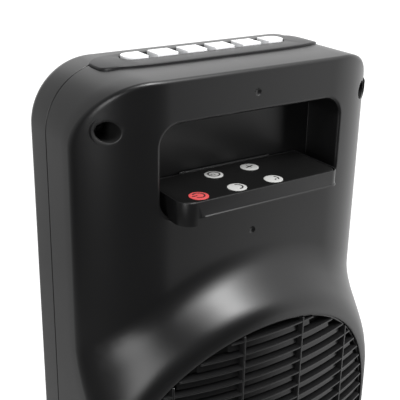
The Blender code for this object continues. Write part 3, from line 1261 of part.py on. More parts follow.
def build_panel(tower, keys):
    """Build the control panel on top, its keys and the board that they press."""
    panel = prism(panel_outline(0), "Z", PANEL_LOW, TOWER_HIGH + PANEL_RAISE + OVERRUN)
    top = prism(tower_outline(-PANEL_RAISE), "Y", FRONT_Y, REAR_Y)
    combine(panel, [top], "INTERSECT")
    flange_high = TOWER_HIGH - WALL - CLEARANCE
    half_width = PANEL_WIDTH / 2 + PANEL_FLANGE_WIDTH
    flange = box((-PANEL_FLANGE_LENGTH / 2, PANEL_Y - half_width, flange_high - PANEL_FLANGE_THICKNESS),
                 (PANEL_FLANGE_LENGTH / 2, PANEL_Y + half_width, flange_high))
    join(panel, flange)
    post_x = CONTROL_BOARD_LENGTH / 2 - PANEL_POST_RADIUS
    post_spots = [(side * post_x, KEY_Y) for side in (1, -1)]
    posts = [stake("Z", place, PANEL_LOW + PANEL_FLANGE_THICKNESS, CONTROL_BOARD_HIGH + CLEARANCE,
                   -1, BOARD_THICKNESS, PANEL_POST_RADIUS) for place in post_spots]
    join(panel, *posts)
    cut(panel, prism(key_strip_outline(KEY_SIDE_PLAY), "Z", PANEL_LOW - OVERRUN,
                     TOWER_HIGH + PANEL_RAISE + OVERRUN))
    finish(panel, "control_panel", PANEL_PLASTIC, tower)

    half_x = CONTROL_BOARD_LENGTH / 2
    half_y = CONTROL_BOARD_WIDTH / 2
    board = box((-half_x, KEY_Y - half_y, CONTROL_BOARD_HIGH - BOARD_THICKNESS),
                (half_x, KEY_Y + half_y, CONTROL_BOARD_HIGH))
    switches = []
    for index in range(KEY_COUNT):
        centre = key_x(index)
        switches.append(box((centre - SWITCH_SIZE / 2, KEY_Y - SWITCH_SIZE / 2,
                             CONTROL_BOARD_HIGH - BOARD_THICKNESS / 2),
                            (centre + SWITCH_SIZE / 2, KEY_Y + SWITCH_SIZE / 2,
                             CONTROL_BOARD_HIGH + SWITCH_HEIGHT)))
    join(board, *switches)
    cut(board, *[rod(STAKE_HOLE_RADIUS, CONTROL_BOARD_HIGH - BOARD_THICKNESS - OVERRUN,
                     CONTROL_BOARD_HIGH + OVERRUN, centre=place, steps=TINY_STEPS)
                 for place in post_spots])
    finish(board, "control_board", GREEN_BOARD, tower)

    stem_low = CONTROL_BOARD_HIGH + SWITCH_HEIGHT + KEY_TRAVEL + CLEARANCE / 2
    for index in range(KEY_COUNT):
        sections = [(0, KEY_LOW), (0, KEY_HIGH - KEY_EDGE), (KEY_EDGE, KEY_HIGH)]
        key = loft([[spot("Z", across, up, along) for across, up in key_outline(index, inset)]
                    for inset, along in sections])
        join(key, rod(KEY_STEM_RADIUS, stem_low, KEY_LOW + KEY_EDGE, centre=(key_x(index), KEY_Y),
                      steps=TINY_STEPS))
        finish(key, f"key_{index + 1}", SILVER_PLASTIC, keys[index])


def build_fan(tower, fan):
    """Build the shroud, the fan, its motor and their screws."""
    half = SHROUD_HALF_WIDTH
    low = DRUM_Z - half
    high = DRUM_Z + half
    plate = prism(rounded_rectangle((-half, low), (half, high), SHROUD_REAR_POST_MARGIN / 2,
                                    SHROUD_REAR_POST_MARGIN / 2, 3), "Y", SHROUD_FRONT_Y, SHROUD_Y)
    ring = tube(SHROUD_RING_RADIUS, SHROUD_RING_RADIUS + SHROUD_RING_WALL,
                SHROUD_Y - SHROUD_PLATE_THICKNESS / 2, SHROUD_FRONT_Y + SHROUD_RING_DEPTH, "Y",
                (0.0, DRUM_Z), DRUM_STEPS)
    join(plate, ring)
    cut(plate, *[prism(quarter_window(start), "Y", SHROUD_FRONT_Y - OVERRUN, SHROUD_Y + OVERRUN)
                 for start in (0, 90, 180, 270)])
    join(plate, *[stake("Y", place, SHROUD_FRONT_Y + SHROUD_PLATE_THICKNESS / 2,
                        HEATER_BACK + CLEARANCE, -1, HEATER_EAR_THICKNESS,
                        SHROUD_FRONT_POST_RADIUS) for place in heater_spots()])
    studs = [(side * FAN_MOTOR_STUD_SPAN / 2, DRUM_Z) for side in (1, -1)]
    cutters = [rod(MOTOR_SHAFT_RADIUS + CLEARANCE, SHROUD_FRONT_Y - OVERRUN, SHROUD_Y + OVERRUN,
                   "Y", (0.0, DRUM_Z))]
    cutters += [rod(SCREW_HOLE_RADIUS, SHROUD_FRONT_Y - OVERRUN, SHROUD_Y + OVERRUN, "Y", place,
                    TINY_STEPS) for place in shroud_screw_spots()]
    cutters += [rod(STAKE_HOLE_RADIUS, SHROUD_FRONT_Y - OVERRUN, SHROUD_Y + OVERRUN, "Y", place,
                    TINY_STEPS) for place in studs]
    cut(plate, *cutters)
    finish(plate, "fan_shroud", INNER_PLASTIC, tower)
    add_screws("Y", shroud_screw_spots(), "shroud_screw", tower, SHROUD_FRONT_Y - CLEARANCE,
               (SCREW_HEAD_RADIUS, SCREW_HEAD_HEIGHT), SCREW_RADIUS,
               SHROUD_PLATE_THICKNESS + SCREW_BITE - OVERRUN, 1)

    motor_back = SHROUD_FRONT_Y - CLEARANCE
    motor_front = motor_back - FAN_MOTOR_LENGTH
    shaft_end = FAN_Y + FAN_HUB_DEPTH - FAN_HUB_CAP - CLEARANCE
    profile = [(0, motor_front - FAN_MOTOR_CAP_LENGTH),
               (FAN_MOTOR_CAP_RADIUS, motor_front - FAN_MOTOR_CAP_LENGTH),
               (FAN_MOTOR_CAP_RADIUS, motor_front),
               (FAN_MOTOR_RADIUS, motor_front), (FAN_MOTOR_RADIUS, motor_back),
               (MOTOR_SHAFT_RADIUS, motor_back), (MOTOR_SHAFT_RADIUS, shaft_end), (0, shaft_end)]
    motor = lathe(profile, "Y", (0.0, DRUM_Z))
    join(motor, *[stake("Y", place, motor_back - STAKE_HEAD_HEIGHT, motor_back, 1,
                        SHROUD_PLATE_THICKNESS, STAKE_HEAD_RADIUS) for place in studs])
    finish(motor, "fan_motor", STEEL, tower)

    hub_end = FAN_Y + FAN_HUB_DEPTH
    bore = MOTOR_SHAFT_RADIUS + CLEARANCE
    hub = lathe([(0, hub_end - FAN_HUB_CAP), (bore, hub_end - FAN_HUB_CAP), (bore, FAN_Y),
                 (FAN_HUB_RADIUS, FAN_Y), (FAN_HUB_RADIUS, hub_end - FAN_HUB_CAP / 2),
                 (FAN_HUB_RADIUS - FAN_HUB_CAP / 2, hub_end), (0, hub_end)], "Y", (0.0, DRUM_Z))
    blades = [fan_blade(360 * index / FAN_BLADE_COUNT) for index in range(FAN_BLADE_COUNT)]
    join(hub, *blades)
    finish(hub, "fan_blade", INNER_PLASTIC, fan)


def quarter_window(start):
    """Give the outline of one of the shroud's four windows, from an angle in degrees."""
    outline = []
    for radius, way in ((SHROUD_RING_RADIUS, 1), (SHROUD_HUB_RADIUS, -1)):
        margin = math.degrees(math.asin(SHROUD_SPOKE_WIDTH / 2 / radius))
        sweep = 90 - 2 * margin
        points = arc((0.0, DRUM_Z), radius, start + margin, sweep, 2 * CORNER_STEPS)
        outline += points[::way]
    return outline


def fan_blade(turn):
    """Make one twisted blade, turned about the fan's axis by degrees."""
    sections = []
    steps = 4
    for step in range(steps + 1):
        share = step / steps
        radius = FAN_HUB_RADIUS - FAN_BLADE_THICKNESS
        radius += (FAN_RADIUS - radius) * share
        chord = FAN_ROOT_CHORD + (FAN_TIP_CHORD - FAN_ROOT_CHORD) * share
        pitch = math.radians(FAN_ROOT_ANGLE + (FAN_TIP_ANGLE - FAN_ROOT_ANGLE) * share)
        middle = FAN_Y + FAN_HUB_DEPTH / 2
        loop = []
        for along, off in ((-0.5, -0.5), (0.5, -0.5), (0.5, 0.5), (-0.5, 0.5)):
            run = along * chord * math.cos(pitch) - off * FAN_BLADE_THICKNESS * math.sin(pitch)
            rise = along * chord * math.sin(pitch) + off * FAN_BLADE_THICKNESS * math.cos(pitch)
            angle = math.radians(turn) + run / max(radius, FAN_HUB_RADIUS)
            loop.append(spot("Y", radius * math.cos(angle), DRUM_Z + radius * math.sin(angle),
                             middle + rise))
        sections.append(loop)
    return loft(sections)


def build_heater(held_by):
    """Build the ceramic heater: frame, finned core, thermal cut-out and screws."""
    half_x = HEATER_WIDTH / 2
    half_z = HEATER_HEIGHT / 2
    frame = box((-half_x, HEATER_FRONT, DRUM_Z - half_z), (half_x, HEATER_BACK, DRUM_Z + half_z))
    ear_x = half_x + HEATER_EAR
    ears = [box((-ear_x, HEATER_BACK - HEATER_EAR_THICKNESS, DRUM_Z + side * HEATER_POST_Z - HEATER_EAR / 2),
                (ear_x, HEATER_BACK - CLEARANCE, DRUM_Z + side * HEATER_POST_Z + HEATER_EAR / 2))
            for side in (1, -1)]
    join(frame, *ears)
    core_x = half_x - HEATER_FRAME_WALL
    core_z = half_z - HEATER_FRAME_WALL
    window = box((-core_x, HEATER_FRONT - OVERRUN, DRUM_Z - core_z),
                 (core_x, HEATER_BACK + OVERRUN, DRUM_Z + core_z))
    holes = [rod(STAKE_HOLE_RADIUS, HEATER_FRONT, HEATER_BACK + OVERRUN, "Y", place, TINY_STEPS)
             for place in heater_spots()]
    cut(frame, window, *holes)
    finish(frame, "heater_frame", TAN_RESIN, held_by)

    middle = (HEATER_FRONT + HEATER_BACK) / 2
    front = middle - HEATER_CORE_DEPTH / 2
    back = middle + HEATER_CORE_DEPTH / 2
    side = core_x - CLEARANCE
    space = 2 * core_z - 2 * CLEARANCE - (HEATER_BAND_COUNT - 1) * HEATER_BAND_GAP
    band_height = space / HEATER_BAND_COUNT
    bands = []
    for index in range(HEATER_BAND_COUNT):
        low = DRUM_Z - core_z + CLEARANCE + index * (band_height + HEATER_BAND_GAP)
        bands.append(prism(comb_outline(side, low, low + band_height), "Y", front, back))
    joint_x = side - FIN_THICKNESS
    ties = []
    for index in range(HEATER_BAND_COUNT - 1):
        low = DRUM_Z - core_z + band_height + index * (band_height + HEATER_BAND_GAP)
        ties.append(box((-joint_x, front + CLEARANCE, low),
                        (joint_x, back - CLEARANCE, low + HEATER_BAND_GAP + 2 * CLEARANCE)))
    core = group(bands)
    join(core, *ties)
    finish(core, "heater_core", ALUMINIUM, held_by)

    cutoff_z = DRUM_Z + half_z + CLEARANCE
    cutoff = rod(CUTOFF_RADIUS, cutoff_z, cutoff_z + CUTOFF_LENGTH, centre=(0.0, middle),
                 steps=SMALL_STEPS)
    finish(cutoff, "thermal_cutout", STEEL, held_by)


def comb_outline(half, low, high):
    """Give a fin band's outline: fins up and down from a spine."""
    middle = (low + high) / 2
    count = int(2 * half / FIN_PITCH)
    pitch = (2 * half - FIN_THICKNESS) / count
    upper = []
    lower = []
    for index in range(count + 1):
        left = -half + index * pitch
        right = left + FIN_THICKNESS
        upper += [(left, high), (right, high)]
        lower += [(left, low), (right, low)]
        if index < count:
            upper += [(right, middle + FIN_SPINE / 2), (left + pitch, middle + FIN_SPINE / 2)]
            lower += [(right, middle - FIN_SPINE / 2), (left + pitch, middle - FIN_SPINE / 2)]
    return lower + upper[::-1]


def build_main_board(held_by):
    """Build the main board with its relays, transformer and capacitors."""
    half_x = MAIN_BOARD_WIDTH / 2
    half_z = MAIN_BOARD_HEIGHT / 2
    back = MAIN_BOARD_Y - CLEARANCE
    front = back - BOARD_THICKNESS
    board = box((-half_x, front, MAIN_BOARD_Z - half_z), (half_x, back, MAIN_BOARD_Z + half_z))
    root = front + BOARD_THICKNESS / 2
    relay_z = MAIN_BOARD_Z + half_z - PART_EDGE_MARGIN
    parts = []
    for side in (-1, 0, 1):
        centre = side * RELAY_PITCH
        parts.append(box((centre - RELAY_WIDTH / 2, front - RELAY_DEPTH, relay_z - RELAY_HEIGHT / 2),
                         (centre + RELAY_WIDTH / 2, root, relay_z + RELAY_HEIGHT / 2)))
    low_z = MAIN_BOARD_Z - half_z + PART_EDGE_MARGIN
    parts.append(box((-TRANSFORMER_WIDTH, front - TRANSFORMER_DEPTH, low_z),
                     (0, root, low_z + TRANSFORMER_HEIGHT)))
    for index in (1, 2):
        centre = (index * 3 * CAPACITOR_RADIUS, low_z + CAPACITOR_RADIUS)
        parts.append(rod(CAPACITOR_RADIUS, front - CAPACITOR_LENGTH, root, "Y", centre))
    join(board, *parts)
    cut(board, *[rod(STAKE_HOLE_RADIUS, front - OVERRUN, back + OVERRUN, "Y", place, TINY_STEPS)
                 for place in board_spots()])
    finish(board, "main_board", GREEN_BOARD, held_by)


def build_tilt_switch(tower, weight_held_by):
    """Build the tilt switch: a bracket with a pin, and a weight that hangs on it."""
    low = FLOOR_HIGH + CLEARANCE
    high = low + TILT_HEIGHT
    left = -TILT_OFFSET - TILT_WIDTH / 2
    right = -TILT_OFFSET + TILT_WIDTH / 2
    near = TILT_Y - TILT_DEPTH / 2
    far = TILT_Y + TILT_DEPTH / 2
    bracket = box((left, near, low), (right, far, high))
    cut(bracket, box((left + TILT_WALL, near - OVERRUN, low + TILT_WALL),
                     (right - TILT_WALL, far + OVERRUN, high + OVERRUN)))
    join(bracket, rod(TILT_PIN_RADIUS, left + TILT_WALL / 2, right - TILT_WALL / 2, "X",
                      (TILT_Y, TILT_PIN_Z), TINY_STEPS))
    finish(bracket, "tilt_switch_bracket", INNER_PLASTIC, tower)

    reach = TILT_WIDTH / 2 - TILT_WALL - TILT_SIDE_PLAY
    start = -TILT_OFFSET - reach
    end = -TILT_OFFSET + reach
    eye = rod(TILT_EYE_RADIUS, start, end, "X", (TILT_Y, TILT_PIN_Z))
    arm = box((start, TILT_Y - TILT_ARM_WIDTH / 2, TILT_PIN_Z - TILT_ARM_LENGTH),
              (end, TILT_Y + TILT_ARM_WIDTH / 2, TILT_PIN_Z - TILT_EYE_RADIUS / 2))
    bob = rod(TILT_WEIGHT_RADIUS, start, end, "X", (TILT_Y, TILT_PIN_Z - TILT_ARM_LENGTH))
    join(eye, arm)
    join(eye, bob)
    cut(eye, rod(TILT_PIN_RADIUS + TILT_BORE_PLAY, start - OVERRUN, end + OVERRUN, "X",
                 (TILT_Y, TILT_PIN_Z), TINY_STEPS))
    finish(eye, "tilt_weight", STEEL, weight_held_by)


def build_case_screws(held_by):
    """Build the screws that hold the shells together."""
    add_screws("Y", case_screw_spots(), "case_screw", held_by, COUNTERBORE_Y + CLEARANCE,
               (SCREW_HEAD_RADIUS, SCREW_HEAD_HEIGHT), SCREW_RADIUS,
               COUNTERBORE_FLOOR + SCREW_BITE - OVERRUN, -1)


def main():
    """Clear the scene and build the heater."""
    for item in list(bpy.data.objects):
        bpy.data.objects.remove(item)
    base = carrier("base_carrier", (0.0, 0.0, 0.0))
    crank = carrier("crank_carrier", (CRANK_OFFSET, 0.0, BASE_HEIGHT), base)
    tower = carrier("tower_carrier", (0.0, 0.0, TURNTABLE_LOW), base)
    fan = carrier("fan_carrier", (0.0, FAN_Y, DRUM_Z), tower)
    weight = carrier("tilt_carrier", (-TILT_OFFSET, TILT_Y, TILT_PIN_Z), tower)
    keys = [carrier(f"key_carrier_{index + 1}", (key_x(index), KEY_Y, KEY_HIGH), tower)
            for index in range(KEY_COUNT)]
    remote = carrier("remote_carrier", (TRAY_X, REMOTE_Y, REMOTE_LOW), tower)
    buttons = [carrier(f"button_carrier_{index + 1}", (*place, REMOTE_HIGH), remote)
               for index, place in enumerate(BUTTON_SPOTS)]
    cell_cover = carrier("cell_cover_carrier", (CELL_X, REMOTE_Y, REMOTE_LOW), remote)

    build_base(base)
    build_swivel(base, crank, tower)
    build_front_shell(tower)
    build_rear_shell(tower)
    build_front_grille(tower)
    build_rear_grille(tower)
    build_display(tower)
    build_panel(tower, keys)
    build_tray(tower)
    build_remote(remote, buttons, cell_cover)
    build_fan(tower, fan)
    build_heater(tower)
    build_main_board(tower)
    build_tilt_switch(tower, weight)
    build_case_screws(tower)
    build_gland(tower)


if __name__ == "__main__":
    main()
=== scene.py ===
"""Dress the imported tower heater: its housings, grilles, keys, remote, materials, stage and camera."""

import json
import math

import bmesh
import bpy
from bpy.props import FloatProperty, FloatVectorProperty, IntProperty, PointerProperty
from mathutils import Matrix, Vector
from mathutils.geometry import delaunay_2d_cdt


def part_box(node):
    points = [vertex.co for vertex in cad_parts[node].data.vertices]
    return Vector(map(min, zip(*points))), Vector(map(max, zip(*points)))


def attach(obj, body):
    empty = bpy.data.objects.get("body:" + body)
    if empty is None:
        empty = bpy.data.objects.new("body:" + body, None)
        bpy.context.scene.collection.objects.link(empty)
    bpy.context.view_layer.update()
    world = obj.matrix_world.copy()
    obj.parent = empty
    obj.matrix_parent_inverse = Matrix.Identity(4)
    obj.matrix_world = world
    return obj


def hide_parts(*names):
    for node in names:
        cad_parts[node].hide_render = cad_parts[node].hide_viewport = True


bl_info = {
    "name": "Tower Heater",
    "version": (1, 0, 0),
    "blender": (4, 5, 0),
    "location": "View3D > Sidebar > Heater",
    "description": "Dresses the packed tower heater in its housings, grilles, keys, remote and stage",
    "category": "Add Mesh",
}

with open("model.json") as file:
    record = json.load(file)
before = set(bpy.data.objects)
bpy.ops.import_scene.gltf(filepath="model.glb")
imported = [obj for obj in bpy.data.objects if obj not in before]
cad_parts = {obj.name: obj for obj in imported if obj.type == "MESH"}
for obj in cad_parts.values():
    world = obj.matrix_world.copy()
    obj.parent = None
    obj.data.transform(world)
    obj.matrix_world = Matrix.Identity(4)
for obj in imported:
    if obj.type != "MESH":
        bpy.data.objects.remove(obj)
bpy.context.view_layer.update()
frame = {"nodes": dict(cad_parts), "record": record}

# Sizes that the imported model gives
FRONT_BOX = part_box("front_shell")
PANEL_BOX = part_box("control_panel")
KEY_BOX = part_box("key_1")
TRAY_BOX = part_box("remote_tray")
FACE_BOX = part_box("remote_face")
CORE_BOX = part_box("heater_core")
HALF_WIDTH = FRONT_BOX[1].x
TOWER_LOW = FRONT_BOX[0].z
TOWER_HIGH = FRONT_BOX[1].z
FRONT_Y = FRONT_BOX[0].y

# Gaps, reaches and angles that the pieces share
GAP = 0.0003
TOUCH = 0.000002
LEVEL_REACH = 0.00002
CUT_PAST = 0.004
SMOOTH_ANGLE = 35
CUT_ANGLE = 60

# Sizes of the housings
WALL = 0.0022
SEAM_Y = -0.014
SEAM_CHAMFER = 0.0004
TOP_CORNER = 0.035
BOTTOM_CORNER = 0.012
FRONT_EDGE = 0.010
FRONT_STEPS = 12
REAR_Y = 0.038
REAR_FLAT_HALF = 0.053
REAR_SHOULDER = 0.043
REAR_SETBACK = 0.0242
REAR_ARC = (REAR_SHOULDER ** 2 + REAR_SETBACK ** 2) / (2 * REAR_SETBACK)
REAR_EDGE = 0.0022
TOP_CUT_DEPTH = 0.006
FLOOR_CUT_DEPTH = 0.008
OPENING_SOFT = 0.0006
BACK_FACING = 0.9
BACK_AREA = 0.01

# Sizes of the drum and the grille in it
DRUM_Z = 0.349
DRUM = (0, DRUM_Z)
DRUM_Y = 0.0635
DRUM_PLAN_RADIUS = 0.227
DRUM_SIDE_ROUND = 0.006
HOLE_RADIUS = 0.0885
HOLE_EDGE = 0.0006
HOLE_WALL = 0.0085
FACE_RADIUS = 0.0926
FLARE = 0.0315
FLARE_RINGS = 22
FLARE_ROUND_SHARE = 0.30
FLARE_HOLLOW_SHARE = 0.48
GRILLE_RING = 0.0011
GRILLE_RING_SINK = 0.0014
RING_SOFT = 0.0004
GRILLE_DEPTH = 0.009
SLAT_LIP = 0.0030
SLAT_FACE = 0.0011
SLAT_LEG = 0.0012
SLAT_FALL = 0.0065
SLAT_LEAN = 0.0012
SLAT_ANGLE = 30
SLAT_SOFT = 0.0003
SLAT_CUTS = 23
BAR_PLACES = (-1.5, -0.5, 0.5, 1.5)
BAR_SPACING = 0.0403
BAR_WIDTH = 0.0013
BAR_DEPTH = 0.0045
BAR_SOFT = 0.0004
# Depth and thickness of the near-black sheet behind the slats, painted shade for the drum's inside
SHADE_SHEET_SINK = 0.0068
SHADE_SHEET_THICKNESS = 0.0008

# Sizes of the ceramic heater
CORE_STRIP = 0.0022
CORE_ROWS = 12
CORE_FOLD = 0.0026
FOLD_HEIGHT = 0.0018

# Sizes of the pocket and the screw wells
POCKET_HALF = 0.058
POCKET_LOW = 0.5000
POCKET_HIGH = 0.5503
POCKET_BACK = 0.0115
POCKET_CORNER = 0.011
POCKET_EDGE = 0.0018
POCKET_COVE = 0.0004
WELL_RADIUS = 0.0053
WELL_X = 0.082
WELL_LEVELS = (0.549, 0.0603)
WELLS = tuple((side * WELL_X, level) for side in (1, -1) for level in WELL_LEVELS)
WELL_FLOOR = 0.014
WELL_EDGE = 0.0004
# Depth below the wells' mouths past which their walls get painted shade
WELL_SHADE_BELOW = 0.0003
DIMPLE_RADIUS = 0.0021
DIMPLE_DEPTH = 0.0009
DIMPLE_ABOVE = 0.0101
DIMPLE_BELOW = 0.0171
DIMPLE_LEVELS = (POCKET_HIGH + DIMPLE_ABOVE, POCKET_LOW - DIMPLE_BELOW)
GLAND_PLACE = (0.040, 0.0669)
GLAND_HOLE = 0.0068
TURNTABLE_BOSS = 0.0163

# Fineness of the rear housing and of round pieces
PLAN_PITCH = 0.0026
PLAN_TOUCH = 1e-7
TOP_STEPS = 24
BOTTOM_STEPS = 12
TOWER_SIDE_STEPS = 60
POCKET_STEPS = 10
POCKET_SIDE_STEPS = 30
RING_STEPS = 128
HOLE_STEPS = 2 * RING_STEPS
WELL_STEPS = 32
GLAND_STEPS = 24
DIMPLE_STEPS = 16
EDGE_STEPS = 5
RIM_STEPS = 3
EDGE_RINGS = (0.0031, 0.0044, 0.0060)
POCKET_RING = 0.0024
WELL_RING = 0.0014
DIMPLE_RINGS = (0.35, 0.7, 1.0)
RING_CLEAR = 0.0008
SIDE_SHARES = (1, 0.7, 0.4, 0.1)
WALL_SHARES = (1, 0.66, 0.33, 0)

# End of every finish's name
FINISH = "_finish"

# Colour and roughness of the housings
BLACK = (0.0070, 0.0070, 0.0073)
BLACK_ROUGHNESS = 0.33


def activate(item):
    """Make one piece the only selected and active one."""
    bpy.ops.object.select_all(action="DESELECT")
    item.select_set(True)
    bpy.context.view_layer.objects.active = item
    return item


def edit(item, action, kind="EDGE", test=None, **settings):
    """Run a mesh operator on the elements of a piece that pass a test."""
    activate(item)
    bpy.ops.object.mode_set(mode="EDIT")
    bpy.ops.mesh.select_mode(type=kind)
    bpy.ops.mesh.select_all(action="DESELECT" if test else "SELECT")
    if test:
        mesh = bmesh.from_edit_mesh(item.data)
        elements = {"VERT": mesh.verts, "EDGE": mesh.edges, "FACE": mesh.faces}[kind]
        for element in elements:
            if test(element):
                element.select_set(True)
        mesh.select_flush_mode()
        bmesh.update_edit_mesh(item.data)
    action(**settings)
    bpy.ops.object.mode_set(mode="OBJECT")
    return item


def modify(item, kind, **settings):
    """Give a piece a modifier and apply it."""
    activate(item)
    modifier = item.modifiers.new(kind.lower(), kind)
    for name, value in settings.items():
        setattr(modifier, name, value)
    bpy.ops.object.modifier_apply(modifier=modifier.name)
    return item


def boolean(item, others, operation):
    """Cut other pieces out of a piece, or join them to it, and delete them."""
    for other in others:
        modify(item, "BOOLEAN", object=other, operation=operation, solver="EXACT")
        bpy.data.objects.remove(other)
    return item


def carve(item, *cutters):
    """Cut other pieces out of a piece."""
    return boolean(item, cutters, "DIFFERENCE")


def weld(item, *others):
    """Join other solid pieces to a piece."""
    return boolean(item, others, "UNION")


def gather(items):
    """Join pieces into the first one."""
    activate(items[0])
    for item in items:
        item.select_set(True)
    bpy.ops.object.join()
    return items[0]


def duplicate(item, shift=(0, 0, 0), stretch=1):
    """Copy a piece with a mesh of its own, stretched across and moved."""
    activate(item)
    bpy.ops.object.duplicate()
    piece = bpy.context.object
    for vert in piece.data.vertices:
        vert.co.x *= stretch
        vert.co += Vector(shift)
    return piece


def from_points(name, points, faces=(), edges=()):
    """Make a piece from points, faces and edges."""
    mesh = bpy.data.meshes.new(name)
    mesh.from_pydata([tuple(point) for point in points], list(edges), list(faces))
    item = bpy.data.objects.new(name, mesh)
    bpy.context.scene.collection.objects.link(item)
    return activate(item)


def block(name, low, high):
    """Add a cube between two corners."""
    bpy.ops.object.select_all(action="DESELECT")
    low, high = Vector(low), Vector(high)
    bpy.ops.mesh.primitive_cube_add(size=1, location=(low + high) / 2)
    item = bpy.context.object
    item.name = name
    item.scale = high - low
    bpy.ops.object.transform_apply(location=True, rotation=True, scale=True)
    return item


def along_axis(axis, across, up, along):
    """Give a point from its place across, up and along an axis."""
    return {"X": (along, across, up), "Y": (across, along, up), "Z": (across, up, along)}[axis]


def slab(name, outline, axis, start, end):
    """Make an outline's face and extrude it along an axis."""
    item = from_points(name, [along_axis(axis, u, v, start) for u, v in outline],
                       [range(len(outline))])
    shift = Vector(along_axis(axis, 0, 0, end - start))
    edit(item, bpy.ops.mesh.extrude_region_move, "FACE",
         TRANSFORM_OT_translate={"value": shift})
    return outward(item)


def outward(item):
    """Merge points that lie on each other and turn a piece's faces outwards."""
    edit(item, bpy.ops.mesh.remove_doubles, threshold=TOUCH)
    return edit(item, bpy.ops.mesh.normals_make_consistent, inside=False)


def turned(name, profile, axis="Z", centre=(0.0, 0.0), steps=64):
    """Spin a profile of radius and height about an axis into a closed piece."""
    points = [along_axis(axis, centre[0] + radius, centre[1], level) for radius, level in profile]
    count = len(points)
    item = from_points(name, points, edges=[(step, step + 1) for step in range(count - 1)])
    middle = along_axis(axis, centre[0], centre[1], 0)
    edit(item, bpy.ops.mesh.spin, steps=steps, angle=2 * math.pi, center=middle,
         axis=along_axis(axis, 0, 0, 1), use_auto_merge=False)
    return outward(item)


def even_normals(item):
    """Weight a piece's normals by its faces, so that flat faces look flat."""
    return modify(item, "WEIGHTED_NORMAL", keep_sharp=True)


def arc(centre, radius, start, sweep, steps):
    """Give the points on an arc from its start and sweep in degrees."""
    turns = [math.radians(start + sweep * step / steps) for step in range(steps + 1)]
    return [(centre[0] + radius * math.cos(turn), centre[1] + radius * math.sin(turn))
            for turn in turns]


def rounded(low, high, lower, upper, swell=0, corner_steps=8, side_steps=1):
    """Give a swelled rectangle's outline with round corners, counterclockwise from the lower right."""
    left, right = low[0] - swell, high[0] + swell
    bottom, top = low[1] - swell, high[1] + swell
    lower, upper = lower + swell, upper + swell
    corners = [arc(centre, radius, start, 90, corner_steps) for centre, radius, start in (
        ((right - lower, bottom + lower), lower, -90), ((right - upper, top - upper), upper, 0),
        ((left + upper, top - upper), upper, 90), ((left + lower, bottom + lower), lower, 180))]
    outline = []
    for corner, following in zip(corners, corners[1:] + corners[:1]):
        outline += corner
        for step in range(1, side_steps):
            outline.append(tuple(here + (there - here) * step / side_steps
                                 for here, there in zip(corner[-1], following[0])))
    return outline


def circle(centre, radius, steps):
    """Give a circle's outline, counterclockwise."""
    return arc(centre, radius, 0, 360, steps)[:-1]


def tower_outline(inset):
    """Give the tower's outline seen from behind, drawn in by an inset."""
    return rounded((-HALF_WIDTH, TOWER_LOW), (HALF_WIDTH, TOWER_HIGH), BOTTOM_CORNER, TOP_CORNER,
                   -inset, TOP_STEPS, TOWER_SIDE_STEPS)


def pocket_outline(swell):
    """Give the pocket's outline, swelled by an amount."""
    return rounded((-POCKET_HALF, POCKET_LOW), (POCKET_HALF, POCKET_HIGH), POCKET_CORNER, POCKET_CORNER,
                   swell, POCKET_STEPS, POCKET_SIDE_STEPS)


def distance_outside(across, level, half_width, low, high, corner):
    """Give how far a place lies outside a rounded rectangle about the middle."""
    side = abs(across) - (half_width - corner)
    rise = abs(level - (high + low) / 2) - ((high - low) / 2 - corner)
    if side > 0 and rise > 0:
        return math.hypot(side, rise) - corner
    return max(side, rise) - corner


def edge_distance(across, level):
    """Give how far a place lies inside the tower's outline."""
    corner = TOP_CORNER if level > DRUM_Z else BOTTOM_CORNER
    return -distance_outside(across, level, HALF_WIDTH, TOWER_LOW, TOWER_HIGH, corner)


def round_drop(distance, radius):
    """Give the drop of a rounded edge at a distance from it."""
    near = radius if distance < TOUCH else max(radius - distance, 0)
    return radius - math.sqrt(radius ** 2 - near ** 2)


def flare_fall(share):
    """Give the share of the drum's height lost across its flare, which is rounded, steep, then hollow."""
    whole = 1 - (FLARE_ROUND_SHARE + FLARE_HOLLOW_SHARE) / 2
    if share < FLARE_ROUND_SHARE:
        return share ** 2 / (2 * FLARE_ROUND_SHARE) / whole
    if share < 1 - FLARE_HOLLOW_SHARE:
        return (share - FLARE_ROUND_SHARE / 2) / whole
    return 1 - (1 - share) ** 2 / (2 * FLARE_HOLLOW_SHARE) / whole


def drum_face(across):
    """Give the depth of the drum's face, which is round in plan."""
    return DRUM_Y - across ** 2 / (2 * DRUM_PLAN_RADIUS)


def pocket_distance(across, level):
    """Give how far a place lies outside the pocket's outline."""
    return distance_outside(across, level, POCKET_HALF, POCKET_LOW, POCKET_HIGH, POCKET_CORNER)


def back_face(across, level):
    """Give the depth of the tower's rear: round shoulders, rounded edge and the drum with its flare."""
    place = (across, level)
    past = max(abs(across) - REAR_FLAT_HALF, 0)
    rear = REAR_Y - REAR_ARC + math.sqrt(REAR_ARC ** 2 - past ** 2)
    rear -= round_drop(edge_distance(across, level), REAR_EDGE)
    reach = math.dist(DRUM, place)
    face = drum_face(across) - round_drop(HALF_WIDTH - abs(across), DRUM_SIDE_ROUND)
    share = min(max((reach - FACE_RADIUS) / FLARE, 0), 1)
    depth = face + (rear - face) * flare_fall(share)
    depth -= round_drop(reach - HOLE_RADIUS, HOLE_EDGE)
    for well in WELLS:
        depth -= round_drop(math.dist(well, place) - WELL_RADIUS, WELL_EDGE)
    for height in DIMPLE_LEVELS:
        near = math.dist((0, height), place) / DIMPLE_RADIUS
        depth -= DIMPLE_DEPTH * max(1 - near ** 2, 0)
    return depth - round_drop(pocket_distance(across, level), POCKET_EDGE)


def rounding_steps(radius, count):
    """Give the distances from an edge at which its rounding is even."""
    return [radius * (1 - math.cos(math.pi / 2 * step / count)) for step in range(count + 1)]


def inside(point, outline):
    """Say whether a point lies inside an outline."""
    odd = False
    last = outline[-1]
    for here in outline:
        if (here[1] > point[1]) != (last[1] > point[1]):
            share = (point[1] - here[1]) / (last[1] - here[1])
            if point[0] < here[0] + (last[0] - here[0]) * share:
                odd = not odd
        last = here
    return odd


